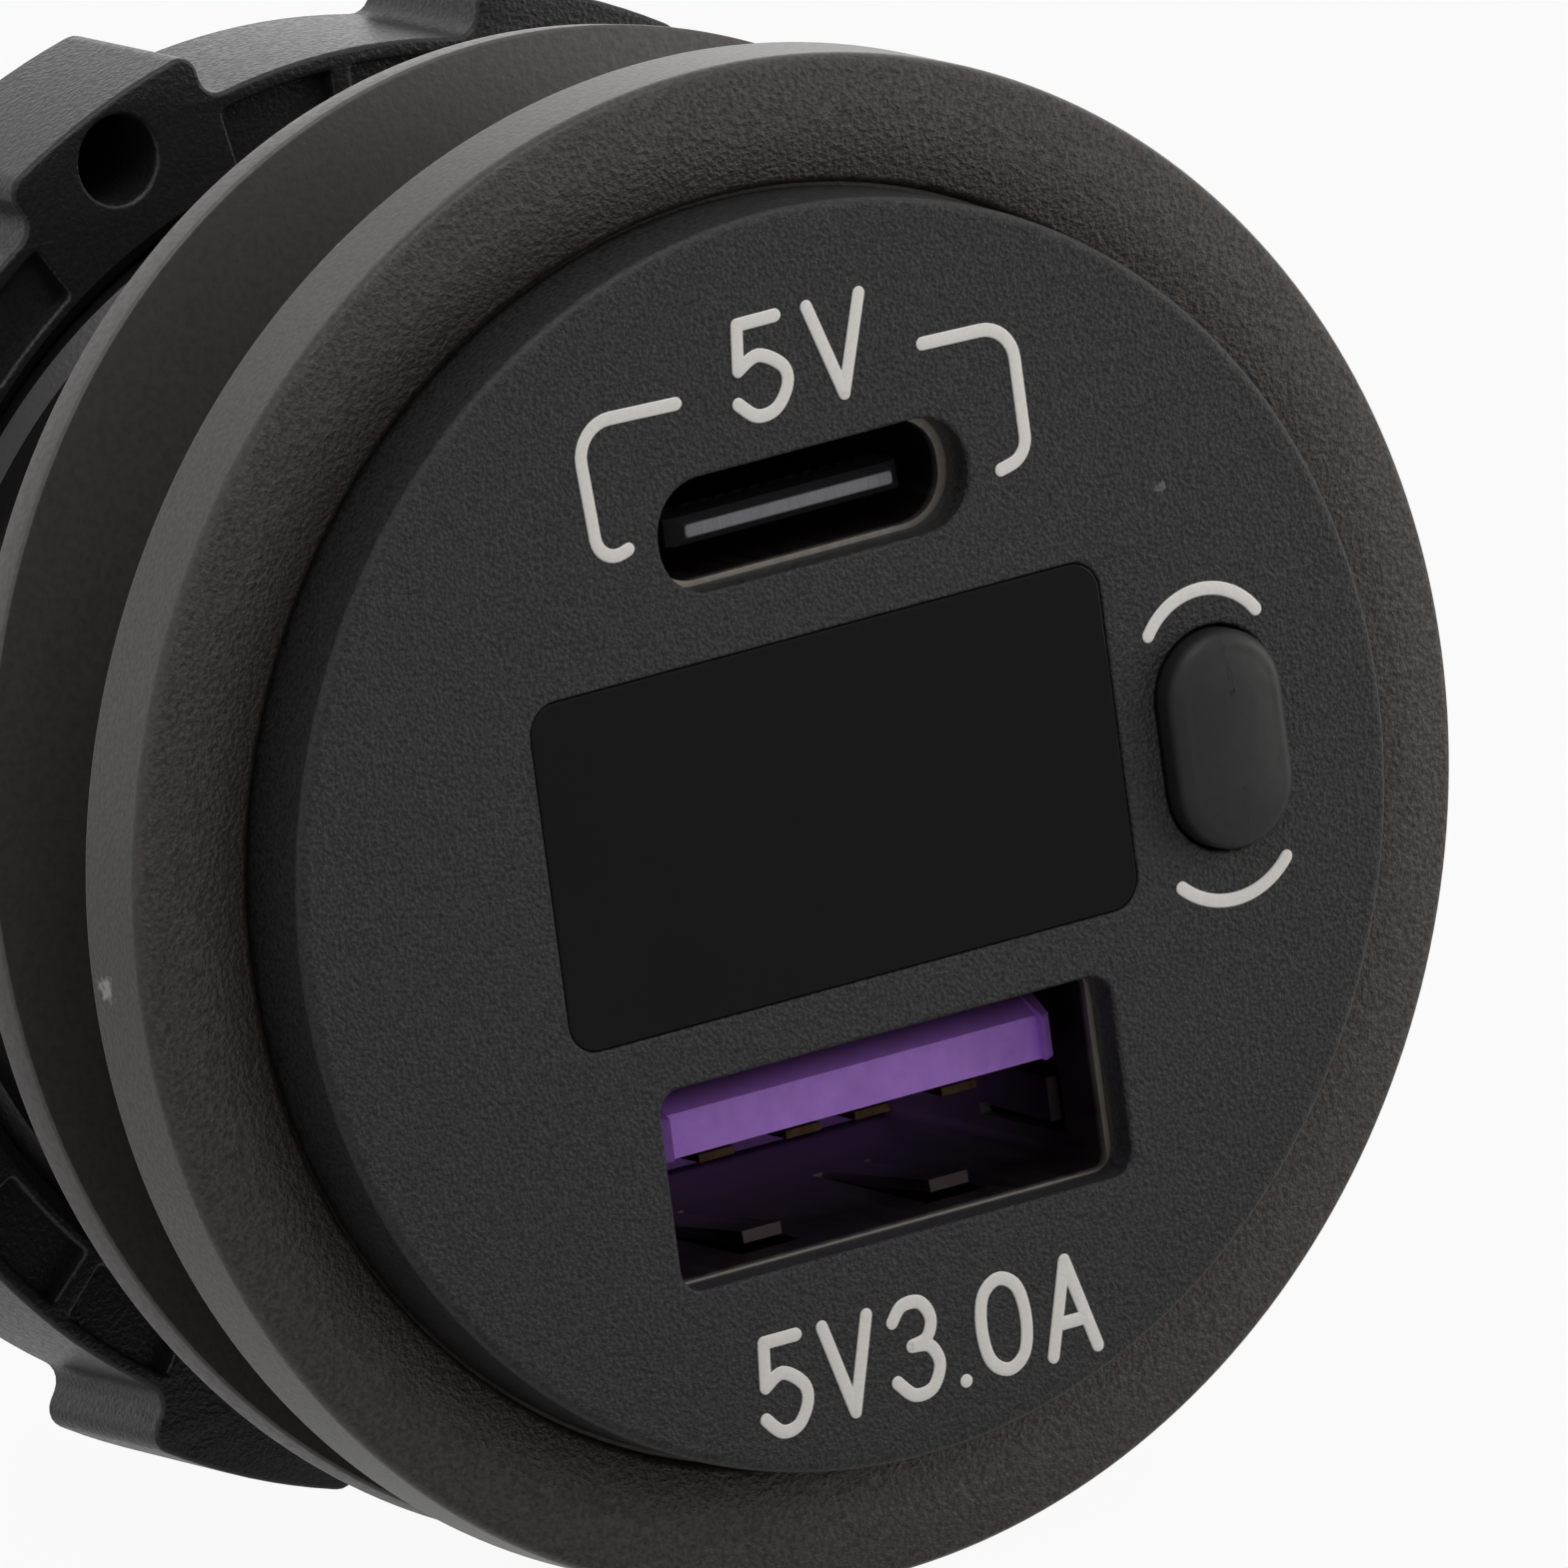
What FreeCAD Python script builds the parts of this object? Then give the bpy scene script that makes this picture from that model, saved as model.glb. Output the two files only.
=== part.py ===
"""Panel-mount 12 V charging socket for a motorcycle: two ports, a meter window and a button.

Millimetres. The barrel's axis is Y, the face looks along -Y and +Z is up. The origin is on
the axis, in the plane of the flange's back face, where the panel lies.
"""
import math
import os

import FreeCAD
import Part
from FreeCAD import Vector

# Flange, with the crowned bezel face round the raised centre
bezel_width = 3.25
rim_height = 2.5
rim_chamfer = 0.22
bezel_crown = 0.22
bezel_dip = 0.1
bezel_facets = 2

# Raised face plate, which drops into the flange
face_overhang = 1.5
face_height = 4.6
face_chamfer = 0.2
plate_thickness = 1.6
plate_seat = 2.1
plate_gap = 0.1
skirt_wall = 0.9
opening_chamfer = 0.1

# Threaded barrel, drawn at the root of its thread, with a plain lead-in at its end
barrel_length = 34.0
thread_root_radius = 14.0
thread_height = 0.4
barrel_wall = 1.0
lead_in_length = 4.0
lead_in_step = 0.2
lead_in_chamfer = 0.4
ledge_depth = 1.2

# Ports and their column on the face
port_shift = 0.3
port_recess = 1.0
port_lip_gap = 0.05
shell_sheet = 0.3
socket_length = 12.6

usb_a_z = -7.5
usb_a_width = 13.3
usb_a_height = 5.5
usb_a_corner = 0.6
usb_a_gap = 0.18
usb_a_lip = (0.15, 0.05)
tongue_a_width = 11.5
tongue_a_thickness = 1.8
tongue_a_z = -6.53
tongue_a_setback = 0.5
tongue_a_nose = 0.42
tongue_base = 2.6
contact_a_pitches = (-3.5, -1.0, 1.0, 3.5)
contact_a_width = 1.0
contact_a_sheet = 0.2
leaf_width = 1.1
leaf_gap = 0.3
leaf_offset = 2.7
floor_leaf_start = 1.1
floor_leaf_length = 5.3
floor_leaf_lean = 5.0
side_leaf_start = 1.7
side_leaf_length = 3.9
side_leaf_lean = 3.0
side_leaf_drop = 1.0

usb_c_z = 8.17
usb_c_width = 8.94
usb_c_height = 3.16
usb_c_corner = 1.45
usb_c_gap = 0.2
usb_c_lip = (0.26, 0.13)
tongue_c_width = 6.7
tongue_c_thickness = 0.7
tongue_c_drop = 0.12
tongue_c_setback = 0.2
tongue_c_nose = 0.17
tongue_c_corner = 0.36
contact_c_count = 12
contact_c_pitch = 0.5
contact_c_width = 0.26
contact_c_sheet = 0.06
contact_c_length = 3.4

# Meter window and the display behind it
window_x = -0.22
window_z = 0.77
window_width = 16.4
window_height = 8.7
window_corner = 0.8
window_thickness = 1.0
window_gap = 0.06
window_shelf = 0.9
display_margin = 1.0
display_height = 7.6

# Button: an oval cap, its retaining wings, and the switch that it presses
button_x = 10.8
button_z = -0.06
button_width = 3.28
button_height = 5.44
button_gap = 0.08
button_proud = 0.8
button_chamfer = 0.3
button_opening_chamfer = 0.08
button_travel = 0.5
wing_reach = 0.9
wing_thickness = 0.5
wing_clearance = 0.15
switch_width = 3.0
switch_height = 6.0
switch_depth = 2.5
plunger_width = 1.6
plunger_height = 2.6
plunger_gap = 0.1
plunger_hold = 0.5

# Circuit boards, stacked along the barrel
board_gap = 0.3
board_thickness = 1.0
display_board_y = 1.0
board_cutout_gap = 0.42
power_board_from_end = 10.0
power_board_thickness = 1.6
pin_side = 0.64
pin_pitch = 2.54
front_pins = 4
front_pins_inset = 2.7
rear_pins = 5
rear_pins_inset = 2.9
header_width = 2.2
header_height = 2.5

# Power parts on the boards; the tall ones stand a share of the way to the port board
inductor_side = 10.0
inductor_share = 0.37
inductor_place = (-3.0, -3.5)
inductor_corner = 1.8
inductor_waist = 1.2
input_can_radius = 4.0
input_can_share = 0.67
input_can_place = (-3.5, 7.2)
output_can_radius = 3.15
output_can_share = 0.52
output_can_places = ((5.8, -7.0), (5.6, 5.0))
can_chamfer = 0.3
can_base = 1.0
chip_places = ((0.0, -6.5), (0.0, 5.5))
chip_width = 5.0
chip_height = 4.0
chip_depth = 1.4
chip_legs = 4
chip_leg_width = 0.42
chip_leg_reach = 0.9
chip_leg_sheet = 0.22

# Rear cap and the two blade terminals
cap_thickness = 2.0
cap_edge = 0.4
cap_skirt = 4.0
cap_skirt_wall = 1.2
cap_gap = 0.1
cap_boss_height = 1.2
cap_boss_margin = 1.1
blade_x = 4.5
blade_width = 6.3
blade_sheet = 0.8
blade_length = 8.0
blade_tip = 0.9
blade_hole_radius = 0.85
blade_hole_from_tip = 3.9
blade_tail_width = 2.4
blade_slot_gap = 0.08

# Loose rubber washer, resting askew on the barrel
washer_width = 3.65
washer_thickness = 0.95
washer_clearance = 0.35
washer_y = 5.9
washer_lean = 5.2
washer_yaw = 3.9

# Ring nut: lugs for a spanner, and a front face sunk into shallow pockets between ribs
nut_y = 15.0
nut_length = 5.1
nut_ring_width = 2.65
nut_wall = 0.45
nut_core_wall = 0.7
nut_thread_gap = 0.15
nut_mouth_chamfer = 0.45
nut_lugs = 8
nut_first_lug = 111.2
lug_height = 1.3
lug_half_angle = 9.5
lug_corner = 0.35
pocket_depth = 0.5
pocket_margin = 1.0
rib_angle = 2.0
lug_hole_radius = 1.1
lug_hole_inset = 0.1
lug_hole_depth = 2.4

# Places worked out from the sizes above
face_radius = thread_root_radius + face_overhang
flange_radius = face_radius + bezel_width
face_y = -face_height
plate_back_y = face_y + plate_thickness
bore_radius = thread_root_radius - barrel_wall
crest_radius = thread_root_radius + thread_height
counterbore_radius = thread_root_radius + plate_gap + 0.15
shell_front_y = face_y + port_recess
port_board_y = shell_front_y + socket_length
port_board_back = port_board_y + power_board_thickness
power_board_y = barrel_length - power_board_from_end
power_bay = power_board_y - port_board_back
board_radius = bore_radius - board_gap
display_board_back = display_board_y + board_thickness
power_board_back = power_board_y + power_board_thickness
button_back_y = plate_back_y + wing_clearance + wing_thickness
switch_front_y = display_board_y - switch_depth
blade_root_y = barrel_length + cap_thickness + cap_boss_height
usb_a_inner_width = usb_a_width - 2 * shell_sheet
usb_a_inner_height = usb_a_height - 2 * shell_sheet
usb_c_inner_width = usb_c_width - 2 * shell_sheet
usb_c_inner_height = usb_c_height - 2 * shell_sheet


def turned(profile):
    """Solid of revolution about Y from (radius, y) points."""
    corners = [Vector(radius, y, 0) for radius, y in profile]
    face = Part.Face(Part.makePolygon(corners + corners[:1]))
    return face.revolve(Vector(0, 0, 0), Vector(0, 1, 0), 360)


def long_edges(block):
    """Edges of a block that run along Y."""
    return [e for e in block.Edges if abs(e.tangentAt(e.FirstParameter).y) > 0.99]


def slab(x, z, width, height, y_front, y_back, corner=0.0):
    """Block along Y with a width (X) by height (Z) section, its four long edges rounded."""
    block = Part.makeBox(width, y_back - y_front, height,
                         Vector(x - width / 2, y_front, z - height / 2))
    if corner <= 0:
        return block
    return block.makeFillet(min(corner, 0.498 * min(width, height)), long_edges(block))


def cut_corner_slab(x, z, side, corner, y_front, y_back):
    """Square block along Y with its four long edges cut off."""
    block = slab(x, z, side, side, y_front, y_back)
    return block.makeChamfer(corner, long_edges(block))


def rod(x, z, radius, y_front, y_back):
    """Round bar along Y."""
    return Part.makeCylinder(radius, y_back - y_front, Vector(x, y_front, z), Vector(0, 1, 0))


def edges_in_plane(shape, y, reach_x, reach_z, x, z):
    """Edges that lie in the plane at y, within a box of half sizes reach round (x, z)."""
    found = []
    for edge in shape.Edges:
        box = edge.BoundBox
        flat = abs(box.YMin - y) < 1e-4 and abs(box.YMax - y) < 1e-4
        near_x = abs(box.Center.x - x) + box.XLength / 2 < reach_x
        near_z = abs(box.Center.z - z) + box.ZLength / 2 < reach_z
        if flat and near_x and near_z:
            found.append(edge)
    return found


def one_solid(shape):
    """The shape as a plain solid, with faces that run on joined into one."""
    cleaned = shape.removeSplitter()
    return cleaned.Solids[0] if len(cleaned.Solids) == 1 else cleaned


def bezel_crown_points(inner_radius, outer_radius):
    """Points over the bezel's crown, from its low inner edge to its outer edge."""
    points = []
    for step in range(bezel_facets + 1):
        share = step / bezel_facets
        bulge = bezel_crown * math.sin(math.pi * share)
        points.append((inner_radius + (outer_radius - inner_radius) * share,
                       -rim_height + bezel_dip * (1 - share) - bulge))
    return points


def housing():
    """Flange and barrel, one moulding; the bezel's face is crowned and dips at the plate."""
    lip_radius = face_radius + plate_gap
    lead_in_radius = thread_root_radius - lead_in_step
    thread_end = barrel_length - lead_in_length
    profile = [
        (bore_radius, barrel_length),
        (bore_radius, -ledge_depth),
        (counterbore_radius, -ledge_depth),
        (counterbore_radius, -plate_seat),
        (lip_radius, -plate_seat),
        *bezel_crown_points(lip_radius, flange_radius - rim_chamfer),
        (flange_radius, -rim_height + rim_chamfer),
        (flange_radius, 0),
        (thread_root_radius, 0),
        (thread_root_radius, thread_end),
        (lead_in_radius, thread_end + lead_in_step),
        (lead_in_radius, barrel_length - lead_in_chamfer),
        (lead_in_radius - lead_in_chamfer, barrel_length),
    ]
    return turned(profile)


def button_outline(margin, y_front, y_back):
    """Oval prism of the button's section, grown all round by a margin."""
    width = button_width + 2 * margin
    return slab(button_x, button_z, width, button_height + 2 * margin, y_front, y_back, width / 2)


def face_plate():
    """Raised round plate with a skirt, cut for both ports, the window and the button."""
    skirt_radius = counterbore_radius - plate_gap
    skirt_end = -ledge_depth - plate_gap
    plate = turned([
        (0, face_y),
        (face_radius - face_chamfer, face_y),
        (face_radius, face_y + face_chamfer),
        (face_radius, -plate_seat),
        (skirt_radius, -plate_seat),
        (skirt_radius, skirt_end),
        (skirt_radius - skirt_wall, skirt_end),
        (skirt_radius - skirt_wall, plate_back_y),
        (0, plate_back_y),
    ])
    front, back = face_y - 1, plate_back_y + 1
    pocket_y = shell_front_y - port_lip_gap
    cuts = [
        slab(port_shift, usb_a_z, usb_a_inner_width + 2 * usb_a_lip[0],
             usb_a_inner_height + 2 * usb_a_lip[1], front, back, usb_a_corner),
        slab(port_shift, usb_c_z, usb_c_inner_width + 2 * usb_c_lip[0],
             usb_c_inner_height + 2 * usb_c_lip[1], front, back, usb_c_corner - usb_c_lip[1]),
        button_outline(button_gap, front, back),
    ]
    pockets = [
        slab(port_shift, usb_a_z, usb_a_width + 2 * usb_a_gap, usb_a_height + 2 * usb_a_gap,
             pocket_y, back, usb_a_corner),
        slab(port_shift, usb_c_z, usb_c_width + 2 * usb_c_gap, usb_c_height + 2 * usb_c_gap,
             pocket_y, back, usb_c_corner + usb_c_gap),
    ]
    for cut, chamfer in zip(cuts, (opening_chamfer, opening_chamfer, button_opening_chamfer)):
        plate = plate.cut(cut)
        centre = cut.BoundBox.Center
        reach_x = cut.BoundBox.XLength / 2 + 0.05
        reach_z = cut.BoundBox.ZLength / 2 + 0.05
        mouth = edges_in_plane(plate, face_y, reach_x, reach_z, centre.x, centre.z)
        plate = plate.makeChamfer(chamfer, mouth)
    recess = slab(window_x, window_z, window_width, window_height,
                  front, face_y + window_thickness, window_corner)
    light_hole = slab(window_x, window_z, window_width - 2 * window_shelf,
                      window_height - 2 * window_shelf, front, back, window_corner / 2)
    return one_solid(plate.cut([recess, light_hole, *pockets]))


def display_window():
    """Tinted pane, flush with the face in its recess."""
    return slab(window_x, window_z, window_width - 2 * window_gap,
                window_height - 2 * window_gap, face_y, face_y + window_thickness,
                window_corner - window_gap)


def display_module():
    """Block of segment digits between the window and its board, with a stepped foot."""
    width = window_width - 2 * display_margin
    foot = slab(window_x, window_z, width, display_height,
                display_board_y - board_thickness, display_board_y)
    block = slab(window_x, window_z, width - plate_gap, display_height - 2 * window_shelf,
                 plate_back_y + plate_gap, display_board_y)
    return one_solid(block.fuse(foot))


def power_button():
    """Oval cap with a bevelled front edge and a wing at each end behind the plate."""
    cap = button_outline(0, face_y - button_proud, button_back_y)
    front = edges_in_plane(cap, face_y - button_proud, button_width, button_height,
                           button_x, button_z)
    cap = cap.makeChamfer(button_chamfer, front)
    wings = slab(button_x, button_z, button_width / 2, button_height + 2 * wing_reach,
                 plate_back_y + wing_clearance, button_back_y)
    return one_solid(cap.fuse(wings))


def switch_plunger():
    """Square stem of the switch, resting against the back of the button."""
    return slab(button_x, button_z, plunger_width, plunger_height,
                button_back_y, switch_front_y + plunger_hold)


def tact_switch():
    """Switch body on the display board, with the well that the stem sinks into."""
    body = slab(button_x, button_z, switch_width, switch_height, switch_front_y, display_board_y)
    well = slab(button_x, button_z, plunger_width + 2 * plunger_gap,
                plunger_height + 2 * plunger_gap, switch_front_y - 1,
                switch_front_y + plunger_hold + button_travel + plunger_gap)
    return body.cut(well)


def socket_shell(z, width, height, corner):
    """Drawn steel sleeve of a port, open at both ends."""
    outside = slab(port_shift, z, width, height, shell_front_y, port_board_y, corner)
    inside = slab(port_shift, z, width - 2 * shell_sheet, height - 2 * shell_sheet,
                  shell_front_y - 1, port_board_y + 1, corner - shell_sheet)
    return outside.cut(inside)


def spring_leaf(across, wall, start, length, lean, turn):
    """Window and bent leaf of a sleeve's wall: laid out on its floor, then turned to its wall.

    The place across the wall runs along +X on the floor, and follows it when it is turned.
    """
    x, z = port_shift + across, usb_a_z - wall
    front, back = shell_front_y + start, shell_front_y + start + length
    window = slab(x, z, leaf_width + 2 * leaf_gap, 2 * shell_sheet, front, back)
    leaf = slab(x, z + shell_sheet / 2, leaf_width, shell_sheet,
                front + leaf_gap, back + shell_sheet)
    leaf.rotate(Vector(x, back + shell_sheet, z), Vector(1, 0, 0), -lean)
    for shape in (window, leaf):
        shape.rotate(Vector(port_shift, 0, usb_a_z), Vector(0, 1, 0), turn)
    return window, leaf


def usb_a_shell():
    """Large port's sleeve, with spring leaves pressed in from its floor and both sides."""
    shell = socket_shell(usb_a_z, usb_a_width, usb_a_height, usb_a_corner)
    floor = (usb_a_height / 2, floor_leaf_start, floor_leaf_length, floor_leaf_lean, 0)
    side = (usb_a_width / 2, side_leaf_start, side_leaf_length, side_leaf_lean)
    for window, leaf in (spring_leaf(-leaf_offset, *floor), spring_leaf(leaf_offset, *floor),
                         spring_leaf(-side_leaf_drop, *side, -90),
                         spring_leaf(side_leaf_drop, *side, 90)):
        shell = shell.cut(window).fuse(leaf)
    return one_solid(shell)


def nose_edges(tongue, front, width, z):
    """Edges round a tongue's front face: its two ends, its top and its foot."""
    edges = edges_in_plane(tongue, front, width, width, port_shift, z)
    ends = [e for e in edges if e.BoundBox.XLength < 1e-4]
    top = [e for e in edges if e not in ends and e.CenterOfMass.z > z]
    foot = [e for e in edges if e not in ends and e.CenterOfMass.z < z]
    return ends, top, foot


def usb_a_tongue():
    """Coloured carrier of the large port, with the block that closes its back."""
    front = shell_front_y + tongue_a_setback
    tongue = slab(port_shift, tongue_a_z, tongue_a_width, tongue_a_thickness, front, port_board_y)
    ends, top, _ = nose_edges(tongue, front, tongue_a_width, tongue_a_z)
    tongue = tongue.makeChamfer(tongue_a_nose, ends + top)
    base = slab(port_shift, usb_a_z, usb_a_inner_width - 2 * plate_gap,
                usb_a_inner_height - 2 * plate_gap, port_board_y - tongue_base, port_board_y)
    return one_solid(tongue.fuse(base))


def usb_c_tongue():
    """Thin carrier of the small port, with the block that closes its back."""
    front = shell_front_y + tongue_c_setback
    z = usb_c_z - tongue_c_drop
    tongue = slab(port_shift, z, tongue_c_width, tongue_c_thickness, front, port_board_y)
    tongue = tongue.makeChamfer(tongue_c_corner, nose_edges(tongue, front, tongue_c_width, z)[0])
    _, top, foot = nose_edges(tongue, front, tongue_c_width, z)
    tongue = tongue.makeChamfer(tongue_c_nose, top + foot)
    base = slab(port_shift, usb_c_z, usb_c_inner_width - plate_gap, usb_c_inner_height - plate_gap,
                port_board_y - 2 * tongue_base, port_board_y, usb_c_corner - shell_sheet)
    return one_solid(tongue.fuse(base))


def usb_a_contacts():
    """Four flat springs under the large port's tongue."""
    top = tongue_a_z - tongue_a_thickness / 2
    front = shell_front_y + tongue_a_setback + tongue_a_nose + 0.8
    strips = [slab(port_shift + x, top - contact_a_sheet / 2, contact_a_width, contact_a_sheet,
                   front, port_board_y - tongue_base)
              for x in contact_a_pitches]
    return Part.makeCompound(strips)


def usb_c_contacts():
    """Rows of fine contacts on both faces of the small port's tongue."""
    front = shell_front_y + tongue_c_setback + tongue_c_nose + 0.9
    offset = tongue_c_thickness / 2 + contact_c_sheet / 2
    first = -contact_c_pitch * (contact_c_count - 1) / 2
    strips = []
    for row in (-1, 1):
        for index in range(contact_c_count):
            strips.append(slab(port_shift + first + index * contact_c_pitch,
                               usb_c_z - tongue_c_drop + row * offset, contact_c_width,
                               contact_c_sheet,
                               front, front + contact_c_length))
    return Part.makeCompound(strips)


def display_board():
    """Front board, cut off above the large port and pierced for the small one."""
    board = rod(0, 0, board_radius, display_board_y, display_board_back)
    chord = usb_a_z + usb_a_height / 2 + board_cutout_gap
    below = slab(0, chord - board_radius, 4 * board_radius, 2 * board_radius,
                 display_board_y - 1, display_board_back + 1)
    hole = slab(port_shift, usb_c_z, usb_c_width + 2 * board_cutout_gap,
                usb_c_height + 2 * board_cutout_gap, display_board_y - 1, display_board_back + 1,
                usb_c_corner)
    return board.cut(below).cut(hole)


def header(x, count, y_front, y_back):
    """Row of square pins between two boards, with its moulded strip at the front board."""
    reach = pin_pitch * (count - 1) / 2
    strip = slab(x, 0, header_width, pin_pitch * count, y_front, y_front + header_height)
    for index in range(count):
        strip = strip.fuse(slab(x, -reach + index * pin_pitch, pin_side, pin_side,
                                y_front, y_back))
    return one_solid(strip)


def capacitor(place, radius, share):
    """Electrolytic can on its square moulded foot."""
    back = power_board_y
    front = back - share * power_bay
    can = turned([
        (0, front),
        (radius - can_chamfer, front),
        (radius, front + can_chamfer),
        (radius, back - can_base),
        (0, back - can_base),
    ])
    can.translate(Vector(place[0], 0, place[1]))
    foot = cut_corner_slab(place[0], place[1], 2 * radius, radius / 3, back - can_base, back)
    return one_solid(can.fuse(foot))


def power_inductor():
    """Square ferrite choke with cut corners and a winding window round its waist."""
    x, z = inductor_place
    height = inductor_share * power_bay
    front = power_board_y - height
    core = cut_corner_slab(x, z, inductor_side, inductor_corner, front, power_board_y)
    waist_front = front + height / 2 - inductor_waist / 2
    keep = cut_corner_slab(x, z, inductor_side - 1.2, inductor_corner, front, power_board_y)
    band = slab(x, z, inductor_side + 1, inductor_side + 1, waist_front,
                waist_front + inductor_waist)
    return one_solid(core.cut(band.cut(keep)))


def chip(place, y_front, facing):
    """Flat chip with a row of bent legs on two sides, lying against the board's back face."""
    x, z = place
    body = slab(x, z, chip_width, chip_height, y_front + chip_leg_sheet / 2,
                y_front + chip_depth)
    first = -chip_width / 2 + chip_width / (2 * chip_legs)
    for side in (-1, 1):
        for index in range(chip_legs):
            leg_x = x + first + index * chip_width / chip_legs
            leg_z = z + side * (chip_height / 2 + chip_leg_reach / 2 - 0.1)
            body = body.fuse(slab(leg_x, leg_z, chip_leg_width, chip_leg_reach + 0.2,
                                  y_front, y_front + chip_leg_sheet * facing))
            root_z = z + side * (chip_height / 2 + 0.1)
            body = body.fuse(slab(leg_x, root_z, chip_leg_width, chip_leg_sheet,
                                  y_front, y_front + chip_depth / 2))
    return one_solid(body)


def board_chips():
    """Port controller behind the port board and converter behind the power board."""
    return Part.makeCompound([
        chip(chip_places[1], port_board_back, 1),
        chip(chip_places[0], power_board_back, 1),
    ])


def rear_cap():
    """Plug of the barrel's end, with a skirt inside it and a slotted boss for each blade."""
    outer = thread_root_radius - lead_in_step - lead_in_chamfer
    skirt = bore_radius - cap_gap
    back = barrel_length + cap_thickness
    cap = turned([
        (0, barrel_length),
        (skirt - cap_skirt_wall, barrel_length),
        (skirt - cap_skirt_wall, barrel_length - cap_skirt),
        (skirt, barrel_length - cap_skirt),
        (skirt, barrel_length),
        (outer, barrel_length),
        (outer, back - cap_edge),
        (outer - cap_edge, back),
        (0, back),
    ])
    slots = []
    for side in (-1, 1):
        x = side * blade_x
        boss = slab(x, 0, blade_sheet + 2 * cap_boss_margin, blade_width + 2 * cap_boss_margin,
                    back - 0.5, blade_root_y)
        cap = cap.fuse(boss)
        slots.append(slab(x, 0, blade_sheet + 2 * blade_slot_gap, blade_width + 2 * blade_slot_gap,
                          barrel_length - 1, blade_root_y + 1))
    for slot in slots:
        cap = cap.cut(slot)
    return one_solid(cap)


def terminal(side):
    """Flat blade through the cap, with a pierced tip and a narrow tail to the power board."""
    x = side * blade_x
    tip = blade_root_y + blade_length
    half = blade_width / 2
    shoulder = barrel_length - 1.0
    tail = blade_tail_width / 2
    corners = [
        (shoulder, -half), (tip - blade_tip, -half), (tip, -half + blade_tip),
        (tip, half - blade_tip), (tip - blade_tip, half), (shoulder, half),
        (shoulder, tail), (power_board_back, tail), (power_board_back, -tail),
        (shoulder, -tail),
    ]
    outline = [Vector(x - blade_sheet / 2, y, z) for y, z in corners]
    blade = Part.Face(Part.makePolygon(outline + outline[:1])).extrude(Vector(blade_sheet, 0, 0))
    hole = Part.makeCylinder(blade_hole_radius, 4 * blade_sheet,
                             Vector(x - 2 * blade_sheet, tip - blade_hole_from_tip, 0),
                             Vector(1, 0, 0))
    return blade.cut(hole)


def sealing_washer():
    """Flat rubber ring, tipped on the barrel as a loose one hangs."""
    hole = crest_radius + washer_clearance
    ring = rod(0, 0, hole + washer_width, 0, washer_thickness)
    ring = ring.cut(rod(0, 0, hole, -1, washer_thickness + 1))
    ring.rotate(Vector(0, 0, 0), Vector(1, 0, 0), -washer_lean)
    ring.rotate(Vector(0, 0, 0), Vector(0, 0, 1), washer_yaw)
    ring.translate(Vector(0, washer_y, 0))
    return ring


def sector(inner, outer, start, end, y_front, y_back):
    """Curved block between two radii and two angles, in degrees from +X towards +Z."""
    def at(radius, angle):
        turn = math.radians(angle)
        return Vector(radius * math.cos(turn), y_front, radius * math.sin(turn))
    middle = (start + end) / 2
    wire = Part.Wire([
        Part.Arc(at(outer, start), at(outer, middle), at(outer, end)).toShape(),
        Part.LineSegment(at(outer, end), at(inner, end)).toShape(),
        Part.Arc(at(inner, end), at(inner, middle), at(inner, start)).toShape(),
        Part.LineSegment(at(inner, start), at(outer, start)).toShape(),
    ])
    return Part.Face(wire).extrude(Vector(0, y_back - y_front, 0))


def ring_nut():
    """Nut with spanner lugs and shallow pockets in its front face, with ribs between them."""
    back = nut_y + nut_length
    bore = crest_radius + nut_thread_gap
    ring_radius = bore + nut_ring_width
    pocket_radius = ring_radius - nut_wall
    nut = turned([
        (bore, nut_y + nut_mouth_chamfer),
        (bore + nut_mouth_chamfer, nut_y),
        (ring_radius, nut_y),
        (ring_radius, back),
        (bore + nut_mouth_chamfer, back),
        (bore, back - nut_mouth_chamfer),
    ])
    pitch = 360.0 / nut_lugs
    lugs, pockets = [], []
    for index in range(nut_lugs):
        centre = nut_first_lug + index * pitch
        lug = sector(pocket_radius, ring_radius + lug_height, centre - lug_half_angle,
                     centre + lug_half_angle, nut_y, back)
        outer_corners = [e for e in long_edges(lug)
                         if math.hypot(e.CenterOfMass.x, e.CenterOfMass.z) > ring_radius]
        lugs.append(lug.makeChamfer(lug_corner, outer_corners))
        pocket_ends = (
            (centre + lug_half_angle + pocket_margin, centre + (pitch - rib_angle) / 2),
            (centre + (pitch + rib_angle) / 2, centre + pitch - lug_half_angle - pocket_margin),
        )
        for start, end in pocket_ends:
            pockets.append(sector(bore + nut_core_wall, pocket_radius, start, end,
                                  nut_y - 1, nut_y + pocket_depth))
    nut = nut.fuse(lugs).cut(Part.makeCompound(pockets))
    turn = math.radians(nut_first_lug)
    middle = ring_radius - lug_hole_inset
    mark = rod(middle * math.cos(turn), middle * math.sin(turn), lug_hole_radius,
               nut_y - 1, nut_y + lug_hole_depth)
    return one_solid(nut.cut(mark))


def output_capacitors():
    """The two smaller cans."""
    return Part.makeCompound([capacitor(place, output_can_radius, output_can_share)
                              for place in output_can_places])


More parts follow.
